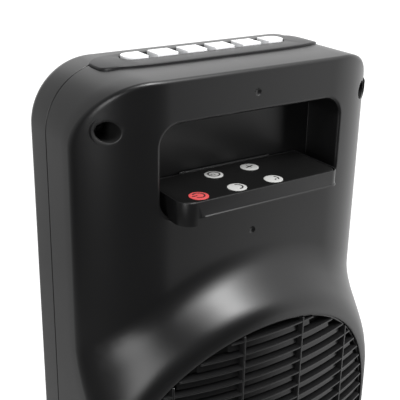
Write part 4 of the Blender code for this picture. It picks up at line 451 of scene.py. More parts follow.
def beyond(distance, place, outline):
    """Say whether a place is outside an outline, from its distance or, near the edge, by the points."""
    return distance > 0 if abs(distance) > GAP else not inside(place, outline)


def plan_mesh(loops, spots, keep):
    """Fill a plan with triangles that follow loops of points, and keep those whose middle passes."""
    points, edges = [], []
    for loop in loops:
        first = len(points)
        points += loop
        edges += [(first + step, first + (step + 1) % len(loop)) for step in range(len(loop))]
    flat, _, faces, _, _, _ = delaunay_2d_cdt([Vector(point) for point in points + spots], edges, [], 0,
                                              PLAN_TOUCH)
    kept = []
    for face in faces:
        middle = sum((flat[corner] for corner in face), Vector((0, 0))) / len(face)
        if keep(middle.x, middle.y):
            kept.append(face)
    return flat, kept


def band(first, second, count):
    """Give the faces between two loops of the same number of points."""
    return [(first + step, first + (step + 1) % count, second + (step + 1) % count, second + step)
            for step in range(count)]


def tunnel(name, sections):
    """Make the open wall that joins loops of points in turn."""
    count = len(sections[0])
    points = [point for section in sections for point in section]
    faces = []
    for index in range(len(sections) - 1):
        faces += band(index * count, (index + 1) * count, count)
    return from_points(name, points, faces)


def skin_loops():
    """Give the loops of points that the rear skin follows: its edges and their roundings."""
    loops = [tower_outline(inset) for inset in rounding_steps(REAR_EDGE, EDGE_STEPS) + list(EDGE_RINGS)]
    loops += [pocket_outline(swell) for swell in rounding_steps(POCKET_EDGE, EDGE_STEPS) + [POCKET_RING]]
    loops += [circle(DRUM, HOLE_RADIUS + swell, HOLE_STEPS)
              for swell in rounding_steps(HOLE_EDGE, RIM_STEPS)]
    for well in WELLS:
        loops += [circle(well, WELL_RADIUS + swell, WELL_STEPS)
                  for swell in rounding_steps(WELL_EDGE, RIM_STEPS) + [WELL_RING]]
    loops.append(circle(GLAND_PLACE, GLAND_HOLE, GLAND_STEPS))
    for level in DIMPLE_LEVELS:
        loops += [circle((0, level), DIMPLE_RADIUS * share, DIMPLE_STEPS) for share in DIMPLE_RINGS]
    return loops


def skin_spots():
    """Give the rear skin's free points: rings on the flare and staggered rows elsewhere."""
    spots = []
    for ring in range(-1, FLARE_RINGS + 1):
        spots += [place for place in circle(DRUM, FACE_RADIUS + FLARE * ring / FLARE_RINGS, HOLE_STEPS)
                  if edge_distance(*place) > EDGE_RINGS[-1] + RING_CLEAR]
    half = PLAN_PITCH / 2
    columns = int(HALF_WIDTH / PLAN_PITCH)
    for row in range(int((TOWER_HIGH - TOWER_LOW) / PLAN_PITCH)):
        for column in range(-columns, columns + 1):
            place = (column * PLAN_PITCH + half * (row % 2), TOWER_LOW + row * PLAN_PITCH + half)
            if (edge_distance(*place) > EDGE_RINGS[-1] + half
                    and math.dist(place, DRUM) > FACE_RADIUS + FLARE + half
                    and pocket_distance(*place) > POCKET_RING + half
                    and all(math.dist(place, well) > WELL_RADIUS + PLAN_PITCH for well in WELLS)
                    and math.dist(place, GLAND_PLACE) > GLAND_HOLE + half
                    and all(math.dist(place, (0, height)) > DIMPLE_RADIUS + PLAN_PITCH / 3
                            for height in DIMPLE_LEVELS)):
                spots.append(place)
    return spots


def rear_skin():
    """Make the outer skin of the rear housing, one sheet with its pocket, wells and rims."""
    rims = [(DRUM, HOLE_RADIUS, HOLE_STEPS), (GLAND_PLACE, GLAND_HOLE, GLAND_STEPS)]
    rims += [(well, WELL_RADIUS, WELL_STEPS) for well in WELLS]
    rims = [(centre, radius, circle(centre, radius, steps)) for centre, radius, steps in rims]
    tower = tower_outline(0)
    pocket = pocket_outline(0)

    def keep(across, level):
        """Say whether a place is on the skin."""
        place = (across, level)
        if beyond(-edge_distance(across, level), place, tower):
            return False
        if not beyond(pocket_distance(across, level), place, pocket):
            return False
        return all(beyond(math.dist(place, centre) - radius, place, outline)
                   for centre, radius, outline in rims)

    def lifted(outline):
        """Give an outline's points on the rear face."""
        return [(x, back_face(x, z), z) for x, z in outline]

    def toward(points, depth, share):
        """Draw points towards a depth, leaving a share of their distance to it."""
        return [(x, depth + (y - depth) * share, z) for x, y, z in points]

    flat, faces = plan_mesh(skin_loops(), skin_spots(), keep)
    skin = from_points("rear_housing", lifted(flat), faces)
    edit(skin, bpy.ops.mesh.delete, "VERT", lambda vert: not vert.link_faces, type="VERT")
    rim = lifted(tower)
    side = [toward(rim, SEAM_Y, share) for share in SIDE_SHARES]
    side.append([(x, SEAM_Y + SEAM_CHAMFER + GAP / 2, z) for x, y, z in rim])
    side.append([(x, SEAM_Y + GAP / 2, z) for x, z in tower_outline(SEAM_CHAMFER)])
    mouth = lifted(pocket)
    walls = [toward(mouth, POCKET_BACK + POCKET_COVE, share) for share in WALL_SHARES]
    for step in range(1, EDGE_STEPS + 1):
        turn = math.pi / 2 * step / EDGE_STEPS
        walls.append([(x, POCKET_BACK + POCKET_COVE * (1 - math.sin(turn)), z)
                      for x, z in pocket_outline(-POCKET_COVE * (1 - math.cos(turn)))])
    last = [(x, POCKET_BACK, z) for x, z in pocket_outline(-POCKET_COVE)]
    pieces = [skin, tunnel("sides", side), tunnel("pocket", walls),
              from_points("pocket_back", last, [range(len(last))])]
    for well in WELLS:
        ring = lifted(circle(well, WELL_RADIUS, WELL_STEPS))
        floor = toward(ring, WELL_FLOOR, 0)
        pieces += [tunnel("well", [ring, floor]), from_points("well_floor", floor, [range(len(floor))])]
    hole = lifted(circle(DRUM, HOLE_RADIUS, HOLE_STEPS))
    pieces.append(tunnel("hole", [hole, [(x, drum_face(x) - HOLE_WALL, z) for x, y, z in hole]]))
    skin = outward(gather(pieces))
    outermost = max(skin.data.polygons, key=lambda face: face.center.y)
    if outermost.normal.y < 0:
        edit(skin, bpy.ops.mesh.flip_normals, "FACE")
    return skin


def panel_outline(swell, steps=120):
    """Give the key panel's outline in plan, a rectangle swelled towards an oval."""
    points = []
    for step in range(steps):
        turn = 2 * math.pi * step / steps
        across = math.copysign(math.sqrt(abs(math.cos(turn))), math.cos(turn))
        depth = math.copysign(math.sqrt(abs(math.sin(turn))), math.sin(turn))
        points.append((across * (PANEL_HALF_X + swell), PANEL_Y + depth * (PANEL_HALF_Y + swell)))
    return points


def top_drop(across):
    """Give how far the tower's top has fallen at a place across it."""
    return round_drop(HALF_WIDTH - abs(across), TOP_CORNER)


def key_strip(swell):
    """Give the outline of the slot that the keys stand in."""
    half_x, half_y = KEY_BOX[1].x, (KEY_BOX[1].y - KEY_BOX[0].y) / 2
    return rounded((-half_x, KEY_Y - half_y), (half_x, KEY_Y + half_y), half_y, half_y, swell, STRIP_STEPS)


def window_outline(swell):
    """Give the outline of the display's window."""
    return rounded(WINDOW_LOW, WINDOW_HIGH, WINDOW_CORNER, WINDOW_CORNER, swell)


def outlet_outline(swell):
    """Give the outline of the front grille."""
    return rounded((-OUTLET_HALF, OUTLET_LOW), (OUTLET_HALF, OUTLET_HIGH), OUTLET_CORNER, OUTLET_CORNER,
                   swell)


def paint(item, looks, *names):
    """Give a piece finishes in turn."""
    for name in names:
        item.data.materials.append(looks[name])
    return item


def settle(item, body, slot, looks, *replaced):
    """Finish a piece: its smooth shading, its material from its slot if it has none, the body it rides on,
    and hiding the nodes it replaces.
    """
    activate(item)
    bpy.ops.object.shade_smooth_by_angle(angle=math.radians(SMOOTH_ANGLE))
    if not item.data.materials:
        paint(item, looks, slot)
    item.data.name = item.name
    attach(item, body)
    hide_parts(*replaced)


def at_level(level, axis=2):
    """Give a test for edges that lie at one level along an axis."""
    return lambda edge: all(abs(vert.co[axis] - level) < LEVEL_REACH for vert in edge.verts)


def longer(length, axis, test=None):
    """Give a test for edges that run farther than a length along an axis."""
    return lambda edge: (abs(edge.verts[0].co[axis] - edge.verts[1].co[axis]) > length
                         and (test is None or test(edge)))


def soften(item, test, radius, segments=3, clamp=True):
    """Round the edges of a piece that pass a test."""
    return edit(item, bpy.ops.mesh.bevel, "EDGE", test, offset=radius, segments=segments,
                affect="EDGES", clamp_overlap=clamp)


def sharper(angle, test=None):
    """Give a test for edges sharper than an angle in degrees."""
    limit = math.radians(angle)
    return lambda edge: (len(edge.link_faces) == 2 and edge.calc_face_angle() > limit
                         and (test is None or test(edge)))


# Sizes of the top panel, the front and the base
PANEL_HALF_X = 0.071
PANEL_HALF_Y = 0.0155
PANEL_Y = -0.007
PANEL_RAISE = 0.0013
PANEL_EDGE = 0.0006
PANEL_LOW_RAISE = 0.004
PANEL_CUTS = 8
KEY_COUNT = 6
KEY_Y = (KEY_BOX[0].y + KEY_BOX[1].y) / 2
KEY_PLAY = 0.0004
KEY_INSET = 0.0005
KEY_CORNER = 0.0005
KEY_EDGE = 0.0006
KEY_CAP = 0.0045
KEY_SLOT_DEPTH = 0.010
SLOT_REACH = (0.0545, 0.0072)
SLOT_SOFT = 0.0003
STRIP_STEPS = 12
KEY_STEPS = 8
STEM_HALF = 0.002
STEM_OVERLAP = 0.001
OUTLET_HALF = 0.071
OUTLET_LOW = 0.1063
OUTLET_HIGH = 0.430
OUTLET_CORNER = 0.010
OUTLET_FRAME = 0.004
OUTLET_DEPTH = 0.0055
LOUVRE_THICKNESS = 0.0012
LOUVRE_DEPTH = 0.0045
LOUVRE_DROP = 0.0022
LOUVRE_PITCH = 0.0061
LOUVRE_SOFT = 0.0005
OUTLET_BARS = (-0.046, -0.023, 0.0, 0.023, 0.046)
OUTLET_BAR = 0.0012
OUTLET_BAR_SOFT = 0.0003
WINDOW_LOW = (-0.036, 0.468)
WINDOW_HIGH = (0.036, 0.502)
WINDOW_CORNER = 0.005
WINDOW_SOFT = 0.0005
BASE_RADIUS = 0.118
BASE_HEIGHT = 0.024
BASE_RIM = 0.008
BASE_PLATEAU = 0.080
BASE_WALL = 0.0025
BASE_CHAMFER = 0.0006
BASE_STEPS = 18
PLATE_LOW = 0.0023
POST_RADIUS = 0.008
POST_SEAT = 0.0029
POST_HIGH = 0.0481
TURNTABLE_RADIUS = 0.070
TURNTABLE_LOW = 0.0243
TURNTABLE_HIGH = 0.036
TURNTABLE_WALL = 0.003
TURNTABLE_EDGE = 0.001
TURNTABLE_BORE = 0.0083
TURNTABLE_NECK = 0.016
TURNTABLE_TOP = 0.046
FOOT_OUTER = 0.110
FOOT_INNER = 0.096
FOOT_HEIGHT = 0.002
FOOT_CHAMFER = 0.0004

# Case screws: radius and height of the tip and the head, and the cross in the head
SCREW_COUNT = 4
SCREW_STEPS = 40
SCREW_TIP = ((0, 0), (0.0012, 0.001), (0.0016, 0.002))
SCREW_HEAD = ((0.0016, 0), (0.0040, 0), (0.0040, 0.0012), (0.0032, 0.0019), (0.0018, 0.0022), (0, 0.0022))
CROSS_HALF = 0.0022
CROSS_WIDTH = 0.0009
CROSS_FLOOR = 0.0010


def top_cutter():
    """Make the cutter for the key panel's opening in the top."""
    return slab("cutter", panel_outline(GAP), "Z", TOWER_HIGH - TOP_CUT_DEPTH, TOWER_HIGH + CUT_PAST)


def foot_cutter():
    """Make the cutter for the turntable's boss in the tower's floor."""
    low, high = TOWER_LOW - CUT_PAST, TOWER_LOW + FLOOR_CUT_DEPTH
    return turned("cutter", [(0, low), (TURNTABLE_BOSS, low), (TURNTABLE_BOSS, high), (0, high)])


def make_rear_housing(looks):
    """Build the rear housing, with shade painted on the walls of its screw wells."""
    skin = rear_skin()
    modify(skin, "SOLIDIFY", thickness=WALL, offset=-1.0, use_even_offset=False)
    outward(skin)
    carve(skin, top_cutter(), foot_cutter())
    # Painted shade: the deep faces of the screw wells take the near-black inner finish, standing in for the
    # shade in the wells
    paint(skin, looks, "case_black", "inner_black")
    for face in skin.data.polygons:
        place = (abs(face.center.x), face.center.z)
        deep = face.center.y < REAR_Y - REAR_SETBACK / 2 - WELL_SHADE_BELOW
        if deep and any(math.dist(place, (WELL_X, level)) < WELL_RADIUS + TOUCH for level in WELL_LEVELS):
            face.material_index = 1
    settle(skin, "tower", "case_black", looks, "rear_shell")


def make_front_housing(looks):
    """Build the front housing with its rounded edge and openings."""
    seam = SEAM_Y - GAP / 2
    shell = block("front_housing", (-HALF_WIDTH, FRONT_Y, TOWER_LOW), (HALF_WIDTH, seam, TOWER_HIGH))
    for end, radius, segments in ((TOWER_HIGH, TOP_CORNER, TOP_STEPS),
                                  (TOWER_LOW, BOTTOM_CORNER, BOTTOM_STEPS)):
        soften(shell, longer(FRONT_EDGE, 1, at_level(end)), radius, segments, clamp=False)
    soften(shell, at_level(FRONT_Y, 1), FRONT_EDGE, FRONT_STEPS, clamp=False)
    soften(shell, at_level(seam, 1), SEAM_CHAMFER, 1, clamp=False)
    edit(shell, bpy.ops.mesh.delete, "FACE",
         lambda face: face.normal.y > BACK_FACING and face.calc_area() > BACK_AREA, type="FACE")
    modify(shell, "SOLIDIFY", thickness=WALL, offset=-1.0, use_even_offset=True)
    carve(shell, slab("cutter", outlet_outline(GAP), "Y", FRONT_Y - WALL, FRONT_Y + 2 * WALL),
          slab("cutter", window_outline(GAP), "Y", FRONT_Y - WALL, FRONT_Y + 2 * WALL),
          top_cutter(), foot_cutter())
    soften(shell, sharper(CUT_ANGLE, lambda edge: abs(edge.verts[0].co.x) < OUTLET_HALF + WALL
                          and at_level(FRONT_Y, 1)(edge)), OPENING_SOFT)
    even_normals(shell)
    settle(shell, "tower", "case_black", looks, "front_shell")


def follow_drum(item):
    """Bend a piece made flat at the drum's middle to the round of its face."""
    for vert in item.data.vertices:
        vert.co.y += drum_face(vert.co.x) - DRUM_Y
    return item


def make_intake_grille(looks, count):
    """Build the rear grille: a ring, lipped slats, thin upright bars and a near-black sheet behind them,
    which paints the shade inside the drum.
    """
    outer = HOLE_RADIUS - GAP
    inner = outer - GRILLE_RING
    reach = inner + GRILLE_RING / 2
    low, high = DRUM_Y - GRILLE_DEPTH, DRUM_Y - GAP
    ring_high = high - GRILLE_RING_SINK
    ring = [(inner, low), (outer, low), (outer, ring_high), (inner + RING_SOFT, ring_high),
            (inner, ring_high - RING_SOFT), (inner, low)]
    parts = [turned("intake_grille", ring, "Y", DRUM, RING_STEPS)]
    leg = high - SLAT_LIP
    section = [(high, 0), (high, -SLAT_FACE), (leg - SLAT_LEAN, -SLAT_FACE), (leg, -SLAT_FALL),
               (leg - SLAT_LEG, -SLAT_FALL), (leg - SLAT_LEAN - SLAT_LEG, 0)]
    slat = slab("slat", section, "X", -1, 1)
    edit(slat, bpy.ops.mesh.subdivide, "EDGE", longer(1, 0), number_cuts=SLAT_CUTS)
    soften(slat, sharper(SLAT_ANGLE, at_level(high, 1)), SLAT_SOFT, 2)
    pitch = 2 * inner / count
    for index in range(count):
        level = (index - (count - 1) / 2) * pitch
        farthest = max(abs(level), abs(level - SLAT_FALL))
        if farthest <= inner:
            half = math.sqrt(reach ** 2 - farthest ** 2)
            parts.append(duplicate(slat, (0, 0, DRUM_Z + level), half))
    bpy.data.objects.remove(slat)
    for place in BAR_PLACES:
        across = place * BAR_SPACING
        half = math.sqrt(reach ** 2 - across ** 2)
        bar = block("bar", (across - BAR_WIDTH / 2, high - BAR_DEPTH, DRUM_Z - half),
                    (across + BAR_WIDTH / 2, high + GAP / 2, DRUM_Z + half))
        parts.append(soften(bar, at_level(high + GAP / 2, 1), BAR_SOFT))
    # A near-black sheet behind the slats paints the shade inside the drum
    parts.append(shade_sheet(reach, high - SHADE_SHEET_SINK))
    # The sheet's faces take the near-black inner finish, as painted shade
    grille = paint(follow_drum(gather(parts)), looks, "grille_black", "inner_black")
    for face in grille.data.polygons:
        deep = drum_face(face.center.x) - face.center.y
        within = math.dist(DRUM, (face.center.x, face.center.z)) < inner
        face.material_index = int(within and SHADE_SHEET_SINK < deep < SHADE_SHEET_SINK + 2 * SHADE_SHEET_THICKNESS)
    settle(grille, "tower", "grille_black", looks, "rear_grille")


def shade_sheet(reach, level):
    """Build the near-black sheet behind the slats, painted shade that hides the drum's inside, as strips
    that can be bent to the drum.
    """
    count = round(2 * reach / PLAN_PITCH)
    edges = [reach * (2 * step / count - 1) for step in range(count + 1)]
    rim = [(across, math.sqrt(max(reach ** 2 - across ** 2, 0))) for across in edges]
    points = [(across, level - deep, DRUM_Z + side * rise)
              for across, rise in rim for side in (-1, 1) for deep in (0, SHADE_SHEET_THICKNESS)]
    faces = []
    for step in range(count):
        low, far, high, far_high = (4 * step + corner for corner in range(4))
        faces += [(low, high, high + 4, low + 4), (far, far + 4, far_high + 4, far_high),
                  (low, low + 4, far + 4, far), (high, far_high, far_high + 4, high + 4)]
    return outward(from_points("cloth", points, faces))


def make_heat_core(looks):
    """Build the ceramic heater: level strips with folded fins between them."""
    low, high = CORE_BOX
    width = high.x - low.x - CORE_STRIP
    pitch = (high.z - low.z - CORE_STRIP) / CORE_ROWS
    strip = block("heat_core", low, (high.x, high.y, low.z + CORE_STRIP))
    bottom = low.z + CORE_STRIP - TOUCH + FOLD_HEIGHT
    top = low.z + pitch + TOUCH
    count = 2 * round(width / CORE_FOLD)
    crest = [(low.x + CORE_STRIP / 2 + width * step / count, top if step % 2 else bottom)
             for step in range(count + 1)]
    under = [(across, level - FOLD_HEIGHT) for across, level in reversed(crest)]
    fold = slab("fold", crest + under, "Y", low.y + GAP, high.y - GAP)
    parts = [strip]
    parts += [duplicate(strip, (0, 0, (index + 1) * pitch)) for index in range(CORE_ROWS)]
    parts += [duplicate(fold, (0, 0, index * pitch)) for index in range(CORE_ROWS)]
    bpy.data.objects.remove(fold)
    settle(gather(parts), "tower", "heater_aluminium", looks, "heater_core")


def make_outlet_grille(looks, pitch):
    """Build the front grille: a frame, louvres and upright bars behind them."""
    surround = slab("outlet_grille", outlet_outline(0), "Y", FRONT_Y, FRONT_Y + OUTLET_DEPTH)
    carve(surround, slab("cutter", outlet_outline(-OUTLET_FRAME), "Y", FRONT_Y - WALL,
                         FRONT_Y + OUTLET_DEPTH + WALL))
    soften(surround, sharper(CUT_ANGLE, at_level(FRONT_Y, 1)), OPENING_SOFT)
    half = OUTLET_HALF - OUTLET_FRAME / 2
    louvre = block("louvre", (-half, FRONT_Y + GAP, -LOUVRE_THICKNESS / 2),
                   (half, FRONT_Y + LOUVRE_DEPTH, LOUVRE_THICKNESS / 2))
    soften(louvre, longer(half, 0, at_level(FRONT_Y + GAP, 1)), LOUVRE_SOFT)
    for vert in louvre.data.vertices:
        vert.co.z += LOUVRE_DROP * (vert.co.y - FRONT_Y) / LOUVRE_DEPTH
    low = OUTLET_LOW + OUTLET_FRAME
    high = OUTLET_HIGH - OUTLET_FRAME
    count = round((high - low) / pitch)
    parts = [surround]
    parts += [duplicate(louvre, (0, 0, low + (high - low) * index / count - LOUVRE_DROP / 2))
              for index in range(1, count)]
    bpy.data.objects.remove(louvre)
    back = FRONT_Y + OUTLET_DEPTH - GAP
    for across in OUTLET_BARS:
        bar = block("bar", (across - OUTLET_BAR / 2, FRONT_Y + LOUVRE_DEPTH / 2, low - OUTLET_FRAME / 2),
                    (across + OUTLET_BAR / 2, back, high + OUTLET_FRAME / 2))
        parts.append(soften(bar, at_level(back, 1), OUTLET_BAR_SOFT, 2))
    settle(gather(parts), "tower", "grille_black", looks, "front_grille")


def make_display(looks):
    """Build the display's smoked window."""
    lens = slab("display_lens", window_outline(0), "Y", FRONT_Y + GAP, FRONT_Y + WALL)
    soften(lens, at_level(FRONT_Y + GAP, 1), WINDOW_SOFT)
    settle(lens, "tower", "window_smoked", looks, "display_window")


def make_key_panel(looks):
    """Build the raised panel on top, with the slot that the keys stand in."""
    high = TOWER_HIGH + PANEL_RAISE
    panel = slab("key_panel", panel_outline(0), "Z", PANEL_BOX[0].z + PANEL_LOW_RAISE, high)
    soften(panel, at_level(high), PANEL_EDGE, 4)
    start = HALF_WIDTH - TOP_CORNER
    for side in (1, -1):
        for step in range(PANEL_CUTS):
            across = side * (start + (PANEL_HALF_X - start) * step / PANEL_CUTS)
            edit(panel, bpy.ops.mesh.bisect, "FACE", plane_co=(across, 0, 0), plane_no=(1, 0, 0))
    for vert in panel.data.vertices:
        vert.co.z -= top_drop(vert.co.x)
    carve(panel, slab("cutter", key_strip(KEY_PLAY), "Z", TOWER_HIGH - KEY_SLOT_DEPTH, high + CUT_PAST))
    soften(panel, sharper(CUT_ANGLE, lambda edge: at_level(high)(edge)
                          and abs(edge.verts[0].co.x) < SLOT_REACH[0]
                          and abs(edge.verts[0].co.y - KEY_Y) < SLOT_REACH[1]), SLOT_SOFT, 2)
    even_normals(panel)
    settle(panel, "tower", "panel_black", looks, "control_panel")


def make_keys(looks):
    """Build the six keys, with a round outer end on the first and the last."""
    round_end = (KEY_BOX[1].y - KEY_BOX[0].y) / 2 - KEY_INSET - GAP
    high = KEY_BOX[1].z
    low = high - KEY_CAP
    for index in range(KEY_COUNT):
        node = f"key_{index + 1}"
        near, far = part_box(node)
        right = round_end if index == 0 else KEY_CORNER
        left = round_end if index == KEY_COUNT - 1 else KEY_CORNER
        outline = key_outline((near.x + KEY_INSET, far.x - KEY_INSET), left, right)
        key = slab(f"key_cap_{index + 1}", outline, "Z", low, high)
        soften(key, at_level(high), KEY_EDGE, 4)
        middle = (near.x + far.x) / 2
        stem = block("stem", (middle - STEM_HALF, KEY_Y - STEM_HALF, near.z),
                     (middle + STEM_HALF, KEY_Y + STEM_HALF, low + STEM_OVERLAP))
        key = even_normals(gather([key, stem]))
        settle(key, node, "key_silver", looks, node)


def key_outline(span, left, right):
    """Give a key's outline with its own corner radius at each end."""
    low_y, high_y = KEY_BOX[0].y + KEY_INSET, KEY_BOX[1].y - KEY_INSET
    outline = []
    for x, y, radius, start in ((span[1], low_y, right, -90), (span[1], high_y, right, 0),
                                (span[0], high_y, left, 90), (span[0], low_y, left, 180)):
        centre = (x - math.copysign(radius, x - sum(span) / 2), y - math.copysign(radius, y - KEY_Y))
        outline += arc(centre, radius, start, 90, KEY_STEPS)
    return outline


# Sizes of the tray and the remote in it
TRAY_WALL = 0.0013
TRAY_STEP = 0.0005
TRAY_SKIRT = 0.0009
TRAY_FLOOR = 0.0020
TRAY_LOW = 0.5043
TRAY_HIGH = 0.5132
TRAY_FRONT_CORNER = 0.0088
TRAY_FAR_CORNER = 0.0060
SKIRT_END = 0.0075
SKIRT_SOFT = 0.00045
TRAY_BACK_CORNER = 0.0016
TRAY_SOFT = 0.0004
TRAY_STEPS = 10
TRAY_FOOT_SPAN = (0.004, 0.010)
TRAY_FOOT_END = 0.034
FLAT_ANGLE = 0.5
RIB_WIDTH = 0.0114
RIB_SOFT = 0.0012
RIM_START = -0.029
RIM_END = 0.0316
RIM_DEPTH = 0.0012
RIM_HIGH = 0.5142
RIM_SOFT = 0.0003
REMOTE_HIGH = 0.5130
REMOTE_LOW = 0.5066
REMOTE_CORNER = 0.0080
REMOTE_FAR_CORNER = 0.0052
REMOTE_SKIN = 0.0004
REMOTE_SKIN_SOFT = 0.0003
REMOTE_CASE_SOFT = 0.0006
BUTTONS = ((0.0396, 0.0439), (0.01575, 0.0439), (-0.0081, 0.0439), (0.01575, 0.0224), (-0.0081, 0.0224))
BUTTON_STEPS = 48
BUTTON_RADIUS = 0.0052
BUTTON_HIGH = 0.5134
BUTTON_SHOULDER = 0.0003
BUTTON_FOOT = 0.0024
BUTTON_WELL_FLOOR = 0.0012
DOME_STEPS = 3
DOME_SHARE = 0.05
DOME_RISE = 0.0002


def two_cornered(box, swell, far_corner, near_corner):
    """Give a box's outline in plan with front corners of two sizes, swelled by an amount."""
    low, high = box
    far_half, near_half = (rounded(low, high, TRAY_BACK_CORNER, corner, swell, TRAY_STEPS)
                           for corner in (far_corner, near_corner))
    return [far if far[0] < 0 else near for far, near in zip(far_half, near_half)]


def tray_outline(swell):
    """Give the tray's outline in plan."""
    return two_cornered(TRAY_BOX, swell, TRAY_FAR_CORNER, TRAY_FRONT_CORNER)


def remote_outline(swell):
    """Give the remote's outline in plan."""
    return two_cornered(FACE_BOX, swell, REMOTE_FAR_CORNER, REMOTE_CORNER)


def make_tray(looks):
    """Build the tray that the remote lies in, with its skirt, corner rib, foot and rim."""
    low, high = TRAY_BOX
    outline = tray_outline(-TRAY_STEP)
    tray = slab("remote_cradle", outline, "Z", TRAY_LOW, TRAY_HIGH)
    skirt = rounded(low, (high.x - SKIRT_END, high.y), TRAY_BACK_CORNER, TRAY_FAR_CORNER, 0, TRAY_STEPS)
    skirt = slab("skirt", skirt, "Z", TRAY_LOW, TRAY_LOW + TRAY_SKIRT)
    soften(skirt, at_level(TRAY_LOW + TRAY_SKIRT), SKIRT_SOFT, 1)
    rib = slab("rib", [place for place in outline if place[0] > high.x - RIB_WIDTH], "Z", low.z,
               TRAY_LOW + GAP)
    soften(rib, at_level(low.z), RIB_SOFT)
    foot = block("foot", (low.x + TRAY_FOOT_SPAN[0], low.y + GAP, low.z),
                 (low.x + TRAY_FOOT_SPAN[1], TRAY_FOOT_END, TRAY_LOW + GAP))
    weld(tray, skirt, rib, foot)
    edit(tray, bpy.ops.mesh.dissolve_limited, "FACE", angle_limit=math.radians(FLAT_ANGLE))
    carve(tray, slab("cutter", tray_outline(-TRAY_WALL), "Z", TRAY_LOW + TRAY_FLOOR, TRAY_HIGH + WALL))
    weld(tray, block("rim", (RIM_START, low.y + TRAY_STEP, TRAY_HIGH - GAP),
                     (RIM_END, low.y + RIM_DEPTH, RIM_HIGH)))
    soften(tray, at_level(RIM_HIGH), RIM_SOFT, 2)
    soften(tray, sharper(CUT_ANGLE, at_level(TRAY_HIGH)), TRAY_SOFT)
    even_normals(tray)
    settle(tray, "tower", "case_black", looks, "remote_tray")


def make_remote(looks):
    """Build the remote's case, its face and its five buttons with plain signs."""
    seam = REMOTE_HIGH - REMOTE_SKIN
    case = slab("remote_case", remote_outline(0), "Z", REMOTE_LOW, seam)
    soften(case, at_level(REMOTE_LOW), REMOTE_CASE_SOFT)
    face = slab("remote_skin", remote_outline(0), "Z", seam, REMOTE_HIGH)
    soften(face, at_level(REMOTE_HIGH), REMOTE_SKIN_SOFT)
    wide, low, high = BUTTON_RADIUS + GAP, REMOTE_LOW + BUTTON_WELL_FLOOR, REMOTE_HIGH + WALL
    for place in BUTTONS:
        for item in (face, case):
            carve(item, turned("cutter", [(0, low), (wide, low), (wide, high), (0, high)], "Z", place,
                               BUTTON_STEPS))
    even_normals(face)
    even_normals(case)
    settle(case, "remote", "remote_case", looks,
           "remote_bottom_case", "remote_top_case", "remote_board", "coin_cell")
    settle(face, "remote", "remote_face", looks, "remote_face")
    for index, place in enumerate(BUTTONS):
        make_button(index, place, looks)


def make_button(index, place, looks):
    """Build one button of the remote, slightly domed, with its sign."""
    low, shoulder = REMOTE_LOW + BUTTON_FOOT, BUTTON_HIGH - BUTTON_SHOULDER
    profile = [(0, low), (BUTTON_RADIUS, low), (BUTTON_RADIUS, shoulder)]
    profile += [(BUTTON_RADIUS * (1 - DOME_SHARE * step),
                 shoulder + DOME_RISE * math.sqrt(step / DOME_STEPS)) for step in range(1, DOME_STEPS + 1)]
    profile.append((0, BUTTON_HIGH))
    button = turned(f"remote_key_{index + 1}", profile, "Z", place, BUTTON_STEPS)
    look = "button_red" if index == 0 else "button_white"
    paint(button, looks, look, "sign_ink")
    signs = [paint(stroke(points, place), looks, "sign_ink") for points in SIGNS[index]]
    node = f"remote_button_{index + 1}"
    settle(gather([button] + signs), node, look, looks, node)


# Lines of the buttons' signs
SIGN_STEPS = 20
SIGN_MIDDLE = (0, 0)
SIGNS = (
    (arc(SIGN_MIDDLE, 0.0031, 40, 280, SIGN_STEPS), ((0.0008, 0.0), (0.0040, 0.0))),
    (arc(SIGN_MIDDLE, 0.0030, 95, 165, SIGN_STEPS), ((-0.0010, 0.0030), (0.0003, 0.0030))),
    (arc(SIGN_MIDDLE, 0.0028, 130, 100, SIGN_STEPS), ((0.0004, 0.0022), (-0.0010, 0.0010))),
    (arc(SIGN_MIDDLE, 0.0032, 0, 360, SIGN_STEPS), ((0.0, 0.0016), (0.0, 0.0), (0.0020, 0.0))),
    (((-0.0028, -0.0009), (0.0028, 0.0009)), ((0.0006, -0.0020), (-0.0002, 0.0018))),
)
STROKE = 0.0008
STROKE_RISE = 0.00006


def stroke(points, place):
    """Make a thin raised line of a sign on a button."""
    count = len(points)
    left, right = [], []
    for index in range(count):
        before = Vector(points[max(index - 1, 0)])
        after = Vector(points[min(index + 1, count - 1)])
        way = (after - before).normalized()
        here = Vector(points[index])
        side = Vector((-way.y, way.x)) * STROKE / 2
        left.append(here + side)
        right.append(here - side)
    corners = [(place[0] + p.x, place[1] + p.y, BUTTON_HIGH - STROKE_RISE) for p in left + right]
    faces = [(step, step + 1, count + step + 1, count + step) for step in range(count - 1)]
    sign = from_points("sign", corners, faces)
    return outward(modify(sign, "SOLIDIFY", thickness=2 * STROKE_RISE, offset=0.0))


